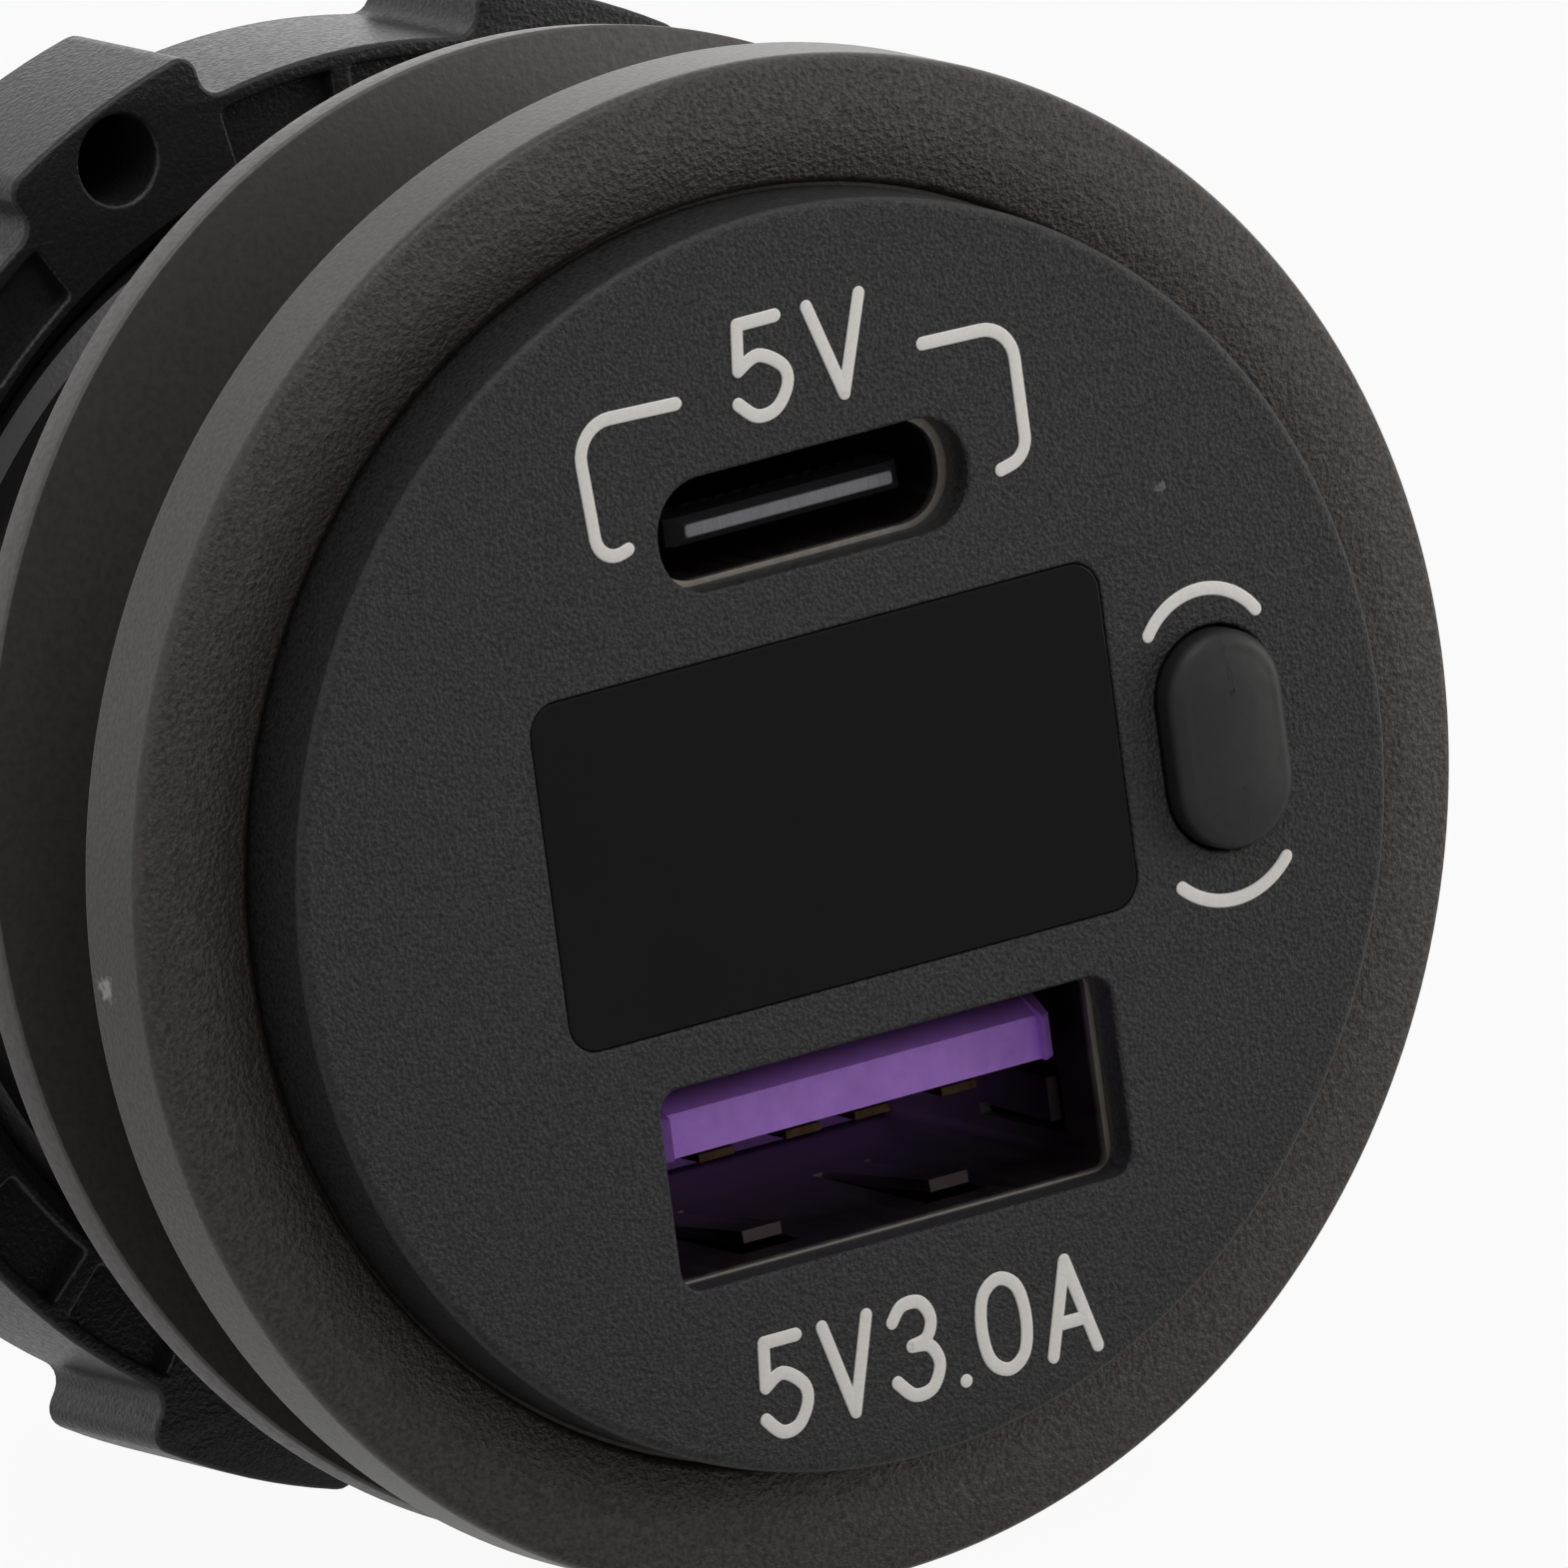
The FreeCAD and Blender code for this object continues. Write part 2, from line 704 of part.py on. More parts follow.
def main():
    """Build each piece and write it as a STEP file of its own."""
    pieces = {
        "threaded_housing": housing(),
        "face_plate": face_plate(),
        "display_window": display_window(),
        "display_module": display_module(),
        "power_button": power_button(),
        "switch_plunger": switch_plunger(),
        "tact_switch": tact_switch(),
        "usb_a_shell": usb_a_shell(),
        "usb_a_tongue": usb_a_tongue(),
        "usb_a_contacts": usb_a_contacts(),
        "usb_c_shell": socket_shell(usb_c_z, usb_c_width, usb_c_height, usb_c_corner),
        "usb_c_tongue": usb_c_tongue(),
        "usb_c_contacts": usb_c_contacts(),
        "display_board": display_board(),
        "port_board": rod(0, 0, board_radius, port_board_y, port_board_back),
        "power_board": rod(0, 0, board_radius, power_board_y, power_board_back),
        "front_board_pins": header(front_pins_inset - board_radius, front_pins,
                                   display_board_back, port_board_y),
        "rear_board_pins": header(board_radius - rear_pins_inset, rear_pins,
                                  port_board_back, power_board_y),
        "power_inductor": power_inductor(),
        "input_capacitor": capacitor(input_can_place, input_can_radius, input_can_share),
        "output_capacitors": output_capacitors(),
        "board_chips": board_chips(),
        "rear_cap": rear_cap(),
        "terminal_positive": terminal(1),
        "terminal_negative": terminal(-1),
        "sealing_washer": sealing_washer(),
        "ring_nut": ring_nut(),
    }
    os.makedirs("parts", exist_ok=True)
    for name, shape in pieces.items():
        if not shape.isValid():
            raise ValueError("%s is not a valid shape" % name)
        shape.exportStep(os.path.join("parts", name + ".step"))
        print("%-20s %9.2f mm3 %3d faces" % (name, shape.Volume, len(shape.Faces)))


main()
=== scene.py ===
import logging
import math
from dataclasses import dataclass, field
from enum import Enum
from typing import Sequence, Union

import bmesh
import bpy
from mathutils import Matrix, Vector
from mathutils.geometry import tessellate_polygon


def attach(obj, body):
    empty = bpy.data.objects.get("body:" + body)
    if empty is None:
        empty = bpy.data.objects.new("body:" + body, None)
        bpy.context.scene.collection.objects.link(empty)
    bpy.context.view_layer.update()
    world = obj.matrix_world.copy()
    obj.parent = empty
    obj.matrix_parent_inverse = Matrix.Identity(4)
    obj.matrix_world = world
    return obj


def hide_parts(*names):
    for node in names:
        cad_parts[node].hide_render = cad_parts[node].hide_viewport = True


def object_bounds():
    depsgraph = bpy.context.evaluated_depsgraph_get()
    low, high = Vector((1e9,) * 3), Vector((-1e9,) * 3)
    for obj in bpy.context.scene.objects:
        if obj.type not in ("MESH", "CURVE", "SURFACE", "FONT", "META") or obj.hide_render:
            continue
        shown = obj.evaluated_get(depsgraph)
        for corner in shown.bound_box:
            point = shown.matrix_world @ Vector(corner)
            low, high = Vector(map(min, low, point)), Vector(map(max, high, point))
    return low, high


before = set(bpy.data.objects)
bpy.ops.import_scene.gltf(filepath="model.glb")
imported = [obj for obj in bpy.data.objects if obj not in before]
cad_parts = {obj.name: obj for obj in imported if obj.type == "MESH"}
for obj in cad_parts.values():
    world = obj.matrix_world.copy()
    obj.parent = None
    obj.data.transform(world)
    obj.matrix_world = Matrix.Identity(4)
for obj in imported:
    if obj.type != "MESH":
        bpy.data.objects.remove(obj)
cad_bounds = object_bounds()

LOG = logging.getLogger("charging_socket")
MM = 0.001

# Segments in a rounded corner, and between two points of a drawn curve
CORNER_STEPS = 8
CURVE_STEPS = 6

Point = tuple[float, float, float]
Flat = tuple[float, float]
Value = Union[float, bool, str, tuple, bpy.types.NodeSocket]


class Body(Enum):
    """Rigid bodies that pieces ride on."""

    CHARGER = "charger"
    BUTTON = "button"


# Colours and nodes


def linear(hex_colour: str) -> tuple[float, float, float, float]:
    """Turn an sRGB hex colour into the linear values that shaders take.

    Args:
        hex_colour: Six hex digits with a leading hash.

    Returns:
        Linear red, green and blue, and an alpha of 1.
    """
    channels = [int(hex_colour[i:i + 2], 16) / 255 for i in (1, 3, 5)]
    values = [c / 12.92 if c <= 0.04045 else ((c + 0.055) / 1.055) ** 2.4 for c in channels]
    return (values[0], values[1], values[2], 1.0)


def add_node(tree: bpy.types.NodeTree, kind: str, inputs: dict[Union[str, int], Value],
             **settings: Value) -> bpy.types.Node:
    """Add one node, set its options, and set or link its inputs.

    Args:
        tree: Node tree that takes the node.
        kind: Blender's name for the node's type.
        inputs: Input name or index to a value, or to a socket to link from.
        **settings: Options of the node itself.

    Returns:
        The new node.
    """
    node = tree.nodes.new(kind)
    for name, value in settings.items():
        setattr(node, name, value)
    for key, value in inputs.items():
        if isinstance(value, bpy.types.NodeSocket):
            tree.links.new(value, node.inputs[key])
        else:
            node.inputs[key].default_value = value
    return node


# The grain's noise: its octaves, how harsh they are, and the span of it that turns to relief
GRAIN_DETAIL = 2.5
GRAIN_HARSHNESS = 0.55
GRAIN_SPAN = (0.3, 0.7)
# Width (mm) over which a grained mould turns polished, and the share of grain left beyond it
POLISH_FADE = 0.08
POLISHED_GRAIN = 0.12
# Lacquer levels itself as it dries, so every clear coat has the same gloss
COAT_ROUGHNESS = 0.08


@dataclass(frozen=True)
class Finish:
    """A surface with a grain: two tones, a relief and a roughness that follow one noise.

    Attributes:
        name: Material's name.
        low: Hex colour in the grain's hollows.
        high: Hex colour on the grain's crests.
        grain_mm: Width of one grain.
        relief_mm: Height of the grain.
        roughness: Roughness on the crests and in the hollows.
        metallic: 1 for bare metal.
        specular: Principled shader's specular level, 0.5 for an IOR of 1.5.
        coat: Weight of a clear coat.
        stretch: Grain's scale along X, Y and Z, for drawn or moulded marks.
        polished_from: Y (mm) behind which the mould was polished, so the grain ends there.
        polish: Roughness of the polished part.
        bands: Y (mm) where the surface starts and ends to turn to another colour, and that
            colour.
    """

    name: str
    low: str
    high: str
    grain_mm: float
    relief_mm: float
    roughness: tuple[float, float] = (0.45, 0.6)
    metallic: float = 0.0
    specular: float = 0.5
    coat: float = 0.0
    stretch: tuple[float, float, float] = (1.0, 1.0, 1.0)
    polished_from: float = 1000.0
    polish: float = 0.3
    bands: tuple[tuple[float, float, str], ...] = ()

    def place(self, tree: bpy.types.NodeTree) -> bpy.types.NodeSocket:
        """Give the surface's own coordinates, in millimetres.

        Args:
            tree: Material's node tree.

        Returns:
            The coordinates' socket, with the grain's stretch in them.
        """
        source = add_node(tree, "ShaderNodeTexCoord", {})
        scale = tuple(s / MM for s in self.stretch)
        return add_node(tree, "ShaderNodeMapping",
                        {"Vector": source.outputs["Object"], "Scale": scale}).outputs[0]

    def grain(self, tree: bpy.types.NodeTree,
              place: bpy.types.NodeSocket) -> bpy.types.NodeSocket:
        """Give the grain's height.

        Args:
            tree: Material's node tree.
            place: Coordinates in millimetres.

        Returns:
            A height from 0 in the hollows to 1 on the crests.
        """
        noise = add_node(tree, "ShaderNodeTexNoise",
                         {"Vector": place, "Scale": 1 / self.grain_mm, "Detail": GRAIN_DETAIL,
                          "Roughness": GRAIN_HARSHNESS})
        return add_node(tree, "ShaderNodeMapRange",
                        {0: noise.outputs[0], 1: GRAIN_SPAN[0], 2: GRAIN_SPAN[1]}).outputs[0]

    def eroded_share(self, tree: bpy.types.NodeTree,
                     place: bpy.types.NodeSocket) -> bpy.types.NodeSocket:
        """Give how much of the grain the mould left.

        Args:
            tree: Material's node tree.
            place: Coordinates in millimetres.

        Returns:
            1 where the mould was left grained, and almost 0 where it was polished.
        """
        parts = add_node(tree, "ShaderNodeSeparateXYZ", {0: place})
        edge = self.polished_from * self.stretch[1]
        return add_node(tree, "ShaderNodeMapRange",
                        {0: parts.outputs["Y"], 1: edge - POLISH_FADE / 2,
                         2: edge + POLISH_FADE / 2, 3: 1.0, 4: POLISHED_GRAIN}).outputs[0]

    def colour(self, tree: bpy.types.NodeTree, place: bpy.types.NodeSocket,
               height: bpy.types.NodeSocket) -> bpy.types.NodeSocket:
        """Give the colour, which follows the grain and then the bands.

        Args:
            tree: Material's node tree.
            place: Coordinates in millimetres.
            height: The grain's height.

        Returns:
            The colour's socket.
        """
        tone = add_node(tree, "ShaderNodeMix",
                        {0: height, 6: linear(self.low), 7: linear(self.high)},
                        data_type="RGBA").outputs[2]
        parts = add_node(tree, "ShaderNodeSeparateXYZ", {0: place})
        for start, end, colour in self.bands:
            share = add_node(tree, "ShaderNodeMapRange",
                             {0: parts.outputs["Y"], 1: start * self.stretch[1],
                              2: end * self.stretch[1]})
            tone = add_node(tree, "ShaderNodeMix",
                            {0: share.outputs[0], 6: tone, 7: linear(colour)},
                            data_type="RGBA").outputs[2]
        return tone

    def build(self) -> bpy.types.Material:
        """Make the material, or find it if it is made already.

        Returns:
            The material with its nodes.
        """
        if self.name in bpy.data.materials:
            return bpy.data.materials[self.name]
        material = bpy.data.materials.new(self.name)
        material.use_nodes = True
        tree = material.node_tree
        shader = tree.nodes["Principled BSDF"]
        place = self.place(tree)
        height = self.grain(tree, place)
        tree.links.new(self.colour(tree, place, height), shader.inputs["Base Color"])
        eroded = self.eroded_share(tree, place)
        rough = add_node(tree, "ShaderNodeMapRange",
                         {0: height, 3: self.roughness[1], 4: self.roughness[0]})
        sheen = add_node(tree, "ShaderNodeMapRange",
                         {0: eroded, 3: self.polish, 4: rough.outputs[0]})
        tree.links.new(sheen.outputs[0], shader.inputs["Roughness"])
        bump = add_node(tree, "ShaderNodeBump",
                        {"Height": height, "Distance": self.relief_mm * MM, "Strength": eroded})
        tree.links.new(bump.outputs[0], shader.inputs["Normal"])
        shader.inputs["Metallic"].default_value = self.metallic
        if self.metallic < 1:
            shader.inputs["Specular IOR Level"].default_value = self.specular
        if self.coat > 0:
            shader.inputs["Coat Weight"].default_value = self.coat
            shader.inputs["Coat Roughness"].default_value = COAT_ROUGHNESS
        return material


@dataclass(frozen=True)
class WornFinish(Finish):
    """A grained surface with small pale scuffs where it has been knocked.

    Attributes:
        scuffs: Centre (mm) and radius (mm) of each scuff.
        scuff_colour: Hex colour of the bruised plastic.
        scuff_cover: How much of that colour covers a scuff's middle.
        tear_mm: Width of the tears in a scuff's edge.
        tear_detail: Octaves of the tears.
        tear_depth: How far the tears reach, as a share of the radius.
        core: Share of the radius, tears included, that is wholly scuffed.
        rim: Share of the radius, tears included, where the scuff ends.
    """

    scuffs: tuple[tuple[Point, float], ...] = ()
    scuff_colour: str = "#b9b6b2"
    scuff_cover: float = 0.8
    tear_mm: float = 0.2
    tear_detail: float = 3.0
    tear_depth: float = 1.6
    core: float = 1.1
    rim: float = 1.5

    def colour(self, tree: bpy.types.NodeTree, place: bpy.types.NodeSocket,
               height: bpy.types.NodeSocket) -> bpy.types.NodeSocket:
        """Give the grain's colour with each scuff laid over it.

        Args:
            tree: Material's node tree.
            place: Coordinates in millimetres.
            height: The grain's height.

        Returns:
            The colour's socket.
        """
        base = super().colour(tree, place, height)
        ragged = add_node(tree, "ShaderNodeTexNoise",
                          {"Vector": place, "Scale": 1 / self.tear_mm,
                           "Detail": self.tear_detail})
        for centre, radius in self.scuffs:
            away = add_node(tree, "ShaderNodeVectorMath", {0: place, 1: centre},
                            operation="DISTANCE")
            torn = add_node(tree, "ShaderNodeMath",
                            {0: ragged.outputs[0], 1: radius * self.tear_depth,
                             2: away.outputs["Value"]}, operation="MULTIPLY_ADD")
            share = add_node(tree, "ShaderNodeMapRange",
                             {0: torn.outputs[0], 1: radius * self.rim, 2: radius * self.core,
                              4: self.scuff_cover})
            base = add_node(tree, "ShaderNodeMix",
                            {0: share.outputs[0], 6: base, 7: linear(self.scuff_colour)},
                            data_type="RGBA").outputs[2]
        return base


# Spark-eroded black ABS: a dead, fine sandy black that greys only at a grazing angle
FACE_ABS = WornFinish("spark_eroded_black_abs_face", "#111112", "#363637", 0.11, 0.04,
                      (0.46, 0.66), specular=0.3, polished_from=-4.53, polish=0.45,
                      scuffs=(((10.0, -4.6, 6.39), 0.26),), scuff_colour="#707173")
# The same plastic with a coarser bite on the bezel and a smooth wall; it has been handled more.
# From Y 0.1 to 0.4 on it turns a flat darker grey: painted shade on the barrel behind the flange
HOUSING_ABS = WornFinish("spark_eroded_black_abs_housing", "#1c1816", "#433c38", 0.13, 0.041,
                         (0.46, 0.66), specular=0.46, polished_from=-2.42,
                         scuffs=(((-18.75, -0.7, 0.1), 0.5), ((-9.3, 0.0, 16.3), 0.16)),
                         bands=((0.1, 0.4, "#242222"),))
# Satin black ABS: the button's skin, smoother and tighter in its highlight than the face
BUTTON_ABS = Finish("satin_black_abs", "#1f1f20", "#242425", 0.35, 0.003, (0.42, 0.5),
                    specular=0.3)
# Glass-filled nylon: greyer than ABS, with a fine dry grain and a faint sheen on its edges
NUT_NYLON = Finish("glass_filled_black_nylon", "#1a1a1b", "#2d2d2f", 0.14, 0.012, (0.27, 0.43),
                   specular=0.32)
# Nitrile rubber: a dusty charcoal with a brown cast, where talc stays in its pores
WASHER_RUBBER = Finish("nitrile_rubber", "#464241", "#55504f", 0.2, 0.005, (0.34, 0.46))
# Smoked acrylic: almost black, flat and even, hiding the digits while they are off
SMOKED_ACRYLIC = Finish("smoked_acrylic", "#161617", "#19191b", 3.0, 0.0005, (0.2, 0.26),
                        specular=0.08)
# Plated drawn steel, dim as painted shade: darker still just behind the ports' mouths as painted
# shade, and pale purple deep inside as a painted reflection of the purple tongue
NICKEL_STEEL_PAINTED_SHADE_AND_REFLECTION = Finish("nickel_steel_painted_shade_and_reflection", "#8d867f", "#a39c94", 0.4, 0.002,
                      (0.42, 0.58), metallic=1.0, stretch=(1.0, 0.15, 1.0),
                      bands=((-3.5, -3.3, "#3c3436"), (-1.2, 4.5, "#b5a8b6")))
# Purple PBT: an even matt moulding, the one strong colour here
PURPLE_PBT = Finish("purple_pbt", "#ab73da", "#b97fe8", 0.5, 0.002, (0.4, 0.5))
# Black LCP: a hard dead-black carrier that sinks into the small port's dark
BLACK_LCP = Finish("black_lcp", "#19191a", "#222223", 0.25, 0.002, (0.5, 0.6), specular=0.25)
# Contacts painted almost black as painted shade deep in the small port: barely a glint on the black
# carrier
CONTACT_PAINTED_SHADE = Finish("contact_painted_dark_as_shade", "#121110", "#1a1816", 0.3, 0.001, (0.5, 0.6),
                      metallic=1.0)
# Brushed mid-plate edge: the one grey line that shows inside the small port
PLATE_EDGE = Finish("brushed_plate_edge", "#7b7a80", "#8e8d94", 0.12, 0.003, (0.45, 0.6),
                    stretch=(3.0, 1.0, 0.3))
# Gold flash over nickel: warm, thin and slightly hazy
GOLD_FLASH = Finish("gold_flashed_contact", "#c9a25a", "#dfbd76", 0.3, 0.001, (0.22, 0.34),
                    metallic=1.0)
# The same flash, painted dark at the nose of each contact as painted shade under the tongue, and
# gold behind it
GOLD_PAINTED_SHADE_NOSE = Finish("gold_flashed_contact_painted_shade_nose", "#2c2117", "#3a2d20", 0.3, 0.001,
                   (0.4, 0.55), metallic=1.0, bands=((0.4, 0.8, "#d0ac66"),))
# Solder mask over glass-fibre laminate: green lacquer with the weave just telling through
SOLDER_MASK = Finish("solder_mask_on_fr4", "#0f3d22", "#1a5130", 0.6, 0.004, (0.3, 0.42),
                     coat=0.3)
# Pressed ferrite: dark grey, dry and slightly gritty
FERRITE = Finish("pressed_ferrite", "#3a3a3e", "#4a4a4f", 0.2, 0.01, (0.6, 0.75))
# Drawn aluminium can: pale metal with faint rings round it
CAN_ALUMINIUM = Finish("drawn_aluminium", "#b4b5b8", "#c9cacd", 0.3, 0.002, (0.25, 0.4),
                       metallic=1.0, stretch=(0.3, 2.0, 0.3))
# Epoxy moulding compound: flat black with a dusty fine grain
EPOXY_BLACK = Finish("epoxy_moulding_compound", "#1d1d1e", "#29292a", 0.12, 0.006, (0.6, 0.72))
# Hot-tinned brass: white metal, rolled lengthwise, duller in its tool marks
TINNED_BRASS = Finish("hot_tinned_brass", "#b9b5ac", "#d2cec5", 0.35, 0.003, (0.22, 0.42),
                      metallic=1.0, stretch=(1.0, 0.2, 1.0))
# Two-part pad-printing ink: an off-white, eggshell film with a slightly rounded edge
PAD_INK = Finish("warm_white_pad_ink", "#f3f0ea", "#fbf8f4", 0.1, 0.002, (0.5, 0.6))


# Shapes

# Least cosine of half a corner's turn, so that the mitre of a sharp corner stays short
LEAST_MITRE = 0.3
# Share of a side that its two roundings may take, which leaves a hair of flat between them
LARGEST_ROUND = 0.998
# Distance (m) below which two points are one
MERGE_DISTANCE = 1e-7
# Angles (degrees) above which an edge stays sharp to the eye, and above which it is rounded
SHARP_ANGLE = 40
BEVEL_ANGLE = 35
BEVEL_STEPS = 3


def round_corners(corners: Sequence[tuple[float, float, float]], steps: int,
                  closed: bool) -> list[Flat]:
    """Round a flat outline's corners.

    Args:
        corners: Corner's two coordinates and its radius, in order.
        steps: Segments in each rounded corner.
        closed: Whether the last corner runs on to the first.

    Returns:
        Points along the rounded outline.
    """
    points: list[Flat] = []
    count = len(corners)
    for index, (u, v, radius) in enumerate(corners):
        at_end = not closed and index in (0, count - 1)
        if radius <= 0 or at_end:
            points.append((u, v))
            continue
        here = Vector((u, v))
        before = (Vector(corners[index - 1][:2]) - here).normalized()
        after = (Vector(corners[(index + 1) % count][:2]) - here).normalized()
        half = before.angle(after) / 2
        reach = radius / math.tan(half)
        centre = here + (before + after).normalized() * radius / math.sin(half)
        start, end = here + before * reach - centre, here + after * reach - centre
        sweep = start.angle_signed(end)
        for step in range(steps + 1):
            turn = -sweep * step / steps
            cos, sin = math.cos(turn), math.sin(turn)
            points.append((centre.x + start.x * cos - start.y * sin,
                           centre.y + start.x * sin + start.y * cos))
    return points


def round_ends(path: Sequence[Flat], radius: float) -> list[tuple[float, float, float]]:
    """Give a path's points as corners, of which the first and the last are rounded."""
    return [(u, v, radius if k in (0, len(path) - 1) else 0.0) for k, (u, v) in enumerate(path)]


def smooth_path(knots: Sequence[Flat], steps: int, closed: bool = False) -> list[Flat]:
    """Run a smooth curve through points.

    Args:
        knots: Points that the curve passes through.
        steps: Segments between two neighbouring points.
        closed: Whether the curve runs on from the last point to the first.

    Returns:
        Points along the curve.
    """
    if closed:
        ring = [knots[-1], *knots, knots[0], knots[1]]
    else:
        ring = [knots[0], *knots, knots[-1]]
    path: list[Flat] = []
    for a, b, c, d in zip(ring, ring[1:], ring[2:], ring[3:]):
        for step in range(steps):
            t = step / steps
            path.append(tuple(
                0.5 * (2 * b[k] + (c[k] - a[k]) * t
                       + (2 * a[k] - 5 * b[k] + 4 * c[k] - d[k]) * t * t
                       + (3 * b[k] - a[k] - 3 * c[k] + d[k]) * t ** 3) for k in (0, 1)))
    if not closed:
        path.append(knots[-1])
    return path


def inset(loop: Sequence[Flat], depth: float) -> list[Flat]:
    """Move a closed outline towards its inside.

    Args:
        loop: Points of the outline, which runs anticlockwise.
        depth: How far each side moves.

    Returns:
        As many points, moved.
    """
    moved = []
    for index, point in enumerate(loop):
        here = Vector(point)
        before = (here - Vector(loop[index - 1])).normalized()
        after = (Vector(loop[(index + 1) % len(loop)]) - here).normalized()
        normal = Vector((-before.y - after.y, before.x + after.x)).normalized()
        across = max(LEAST_MITRE, normal.dot(Vector((-after.y, after.x))))
        moved.append(tuple(here + normal * depth / across))
    return moved


def arc_through(start: Flat, middle: Flat, end: Flat, steps: int) -> list[Flat]:
    """Draw the circle's arc that runs through three points.

    Args:
        start: The arc's first point.
        middle: A point on the way.
        end: The arc's last point.
        steps: Segments in the arc.

    Returns:
        Points along the arc.
    """
    a, b, c = Vector(start), Vector(middle), Vector(end)
    ab, ac = b - a, c - a
    cross = 2 * ab.cross(ac)
    centre = a + Vector((ac.y * ab.length_squared - ab.y * ac.length_squared,
                         ab.x * ac.length_squared - ac.x * ab.length_squared)) / cross
    spoke = a - centre
    sweep = -(spoke.angle_signed(b - centre) + (b - centre).angle_signed(c - centre))
    return [tuple(centre + Matrix.Rotation(sweep * k / steps, 2) @ spoke)
            for k in range(steps + 1)]


def angles(segments: int) -> list[float]:
    """Give the angles of a circle's steps."""
    return [2 * math.pi * i / segments for i in range(segments)]


@dataclass
class MeshDraft:
    """Points and faces of one piece, in millimetres, before they become an object."""

    points: list[Point] = field(default_factory=list)
    faces: list[tuple[int, ...]] = field(default_factory=list)

    def ring(self, points: Sequence[Point]) -> list[int]:
        """Add a row of points.

        Args:
            points: The points, in order.

        Returns:
            Their numbers in the draft.
        """
        first = len(self.points)
        self.points.extend(points)
        return list(range(first, len(self.points)))

    def bridge(self, first: Sequence[int], second: Sequence[int], closed: bool = True) -> None:
        """Join two rows of points with a strip of faces.

        Args:
            first: Numbers of one row's points.
            second: Numbers of as many points in the other row.
            closed: Whether the strip runs on from the rows' ends to their starts.
        """
        last = len(first) if closed else len(first) - 1
        for i in range(last):
            j = (i + 1) % len(first)
            self.faces.append((first[i], first[j], second[j], second[i]))

    def rounded_rim(self, loop: Sequence[Flat], y: float, edge: float, into: float,
                    steps: int = 5) -> list[list[int]]:
        """Roll a flat face over into the wall that runs along its outline.

        Args:
            loop: The wall's outline as (x, z) points.
            y: Where the flat face lies.
            edge: Radius of the rounding; it is negative round a hole.
            into: 1 where the wall runs towards +Y, and -1 towards -Y.
            steps: Segments in the rounding.

        Returns:
            Rings of point numbers from the face to the wall.
        """
        rings = []
        for step in range(steps + 1):
            t = math.pi / 2 * step / steps
            points = inset(loop, edge * (1 - math.sin(t)))
            depth = y + into * abs(edge) * (1 - math.cos(t))
            rings.append(self.ring([(x, depth, z) for x, z in points]))
        for first, second in zip(rings, rings[1:]):
            self.bridge(first, second)
        return rings

    def plate(self, outline: Sequence[int], holes: Sequence[Sequence[int]] = ()) -> None:
        """Fill a flat outline, and leave its holes open.

        Args:
            outline: Numbers of the outer loop's points.
            holes: Numbers of each hole's points.
        """
        loops = [list(outline), *(list(h) for h in holes)]
        order = [number for loop in loops for number in loop]
        filled = tessellate_polygon([[Vector(self.points[n]) for n in loop] for loop in loops])
        self.faces.extend(tuple(order[k] for k in triangle) for triangle in filled)

    def turn(self, profile: Sequence[Flat], segments: int, closed: bool = True) -> list[list[int]]:
        """Turn a profile of (radius, y) points about Y.

        Args:
            profile: Points of the section.
            segments: Steps round the circle.
            closed: Whether the section's last point joins its first.

        Returns:
            The ring of point numbers at each profile point.
        """
        rings = [self.ring([(r * math.cos(a), y, r * math.sin(a)) for a in angles(segments)])
                 for r, y in profile]
        pairs = list(zip(rings, rings[1:]))
        if closed:
            pairs.append((rings[-1], rings[0]))
        for first, second in pairs:
            self.bridge(first, second)
        return rings

    def make(self, name: str, finish: Finish, body: Body,
             bevel_mm: float = 0.0) -> bpy.types.Object:
        """Turn the draft into a smooth-shaded object that rides on a body.

        Args:
            name: Object's name.
            finish: Its material.
            body: Body that it rides on.
            bevel_mm: Width of the rounding on its hard edges.

        Returns:
            The object, in metres.
        """
        mesh = bpy.data.meshes.new(name)
        mesh.from_pydata([tuple(c * MM for c in p) for p in self.points], [], self.faces)
        work = bmesh.new()
        work.from_mesh(mesh)
        bmesh.ops.remove_doubles(work, verts=work.verts, dist=MERGE_DISTANCE)
        bmesh.ops.dissolve_degenerate(work, edges=work.edges, dist=MERGE_DISTANCE)
        bmesh.ops.recalc_face_normals(work, faces=work.faces)
        work.to_mesh(mesh)
        work.free()
        mesh.polygons.foreach_set("use_smooth", [True] * len(mesh.polygons))
        mesh.set_sharp_from_angle(angle=math.radians(SHARP_ANGLE))
        mesh.materials.append(finish.build())
        piece = bpy.data.objects.new(name, mesh)
        bpy.context.scene.collection.objects.link(piece)
        if bevel_mm > 0:
            edge = piece.modifiers.new("edge", "BEVEL")
            edge.width = bevel_mm * MM
            edge.segments = BEVEL_STEPS
            edge.limit_method = "ANGLE"
            edge.angle_limit = math.radians(BEVEL_ANGLE)
        weighted = piece.modifiers.new("weighted", "WEIGHTED_NORMAL")
        weighted.keep_sharp = True
        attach(piece, body.value)
        return piece


def dress(node: str, finish: Finish) -> bpy.types.Object:
    """Give a CAD node its material.

    Args:
        node: The node's name in the frame.
        finish: The surface that it takes.

    Returns:
        The node's object.
    """
    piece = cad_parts[node]
    for slot in piece.material_slots:
        slot.material = finish.build()
    return piece


# Sub-assemblies


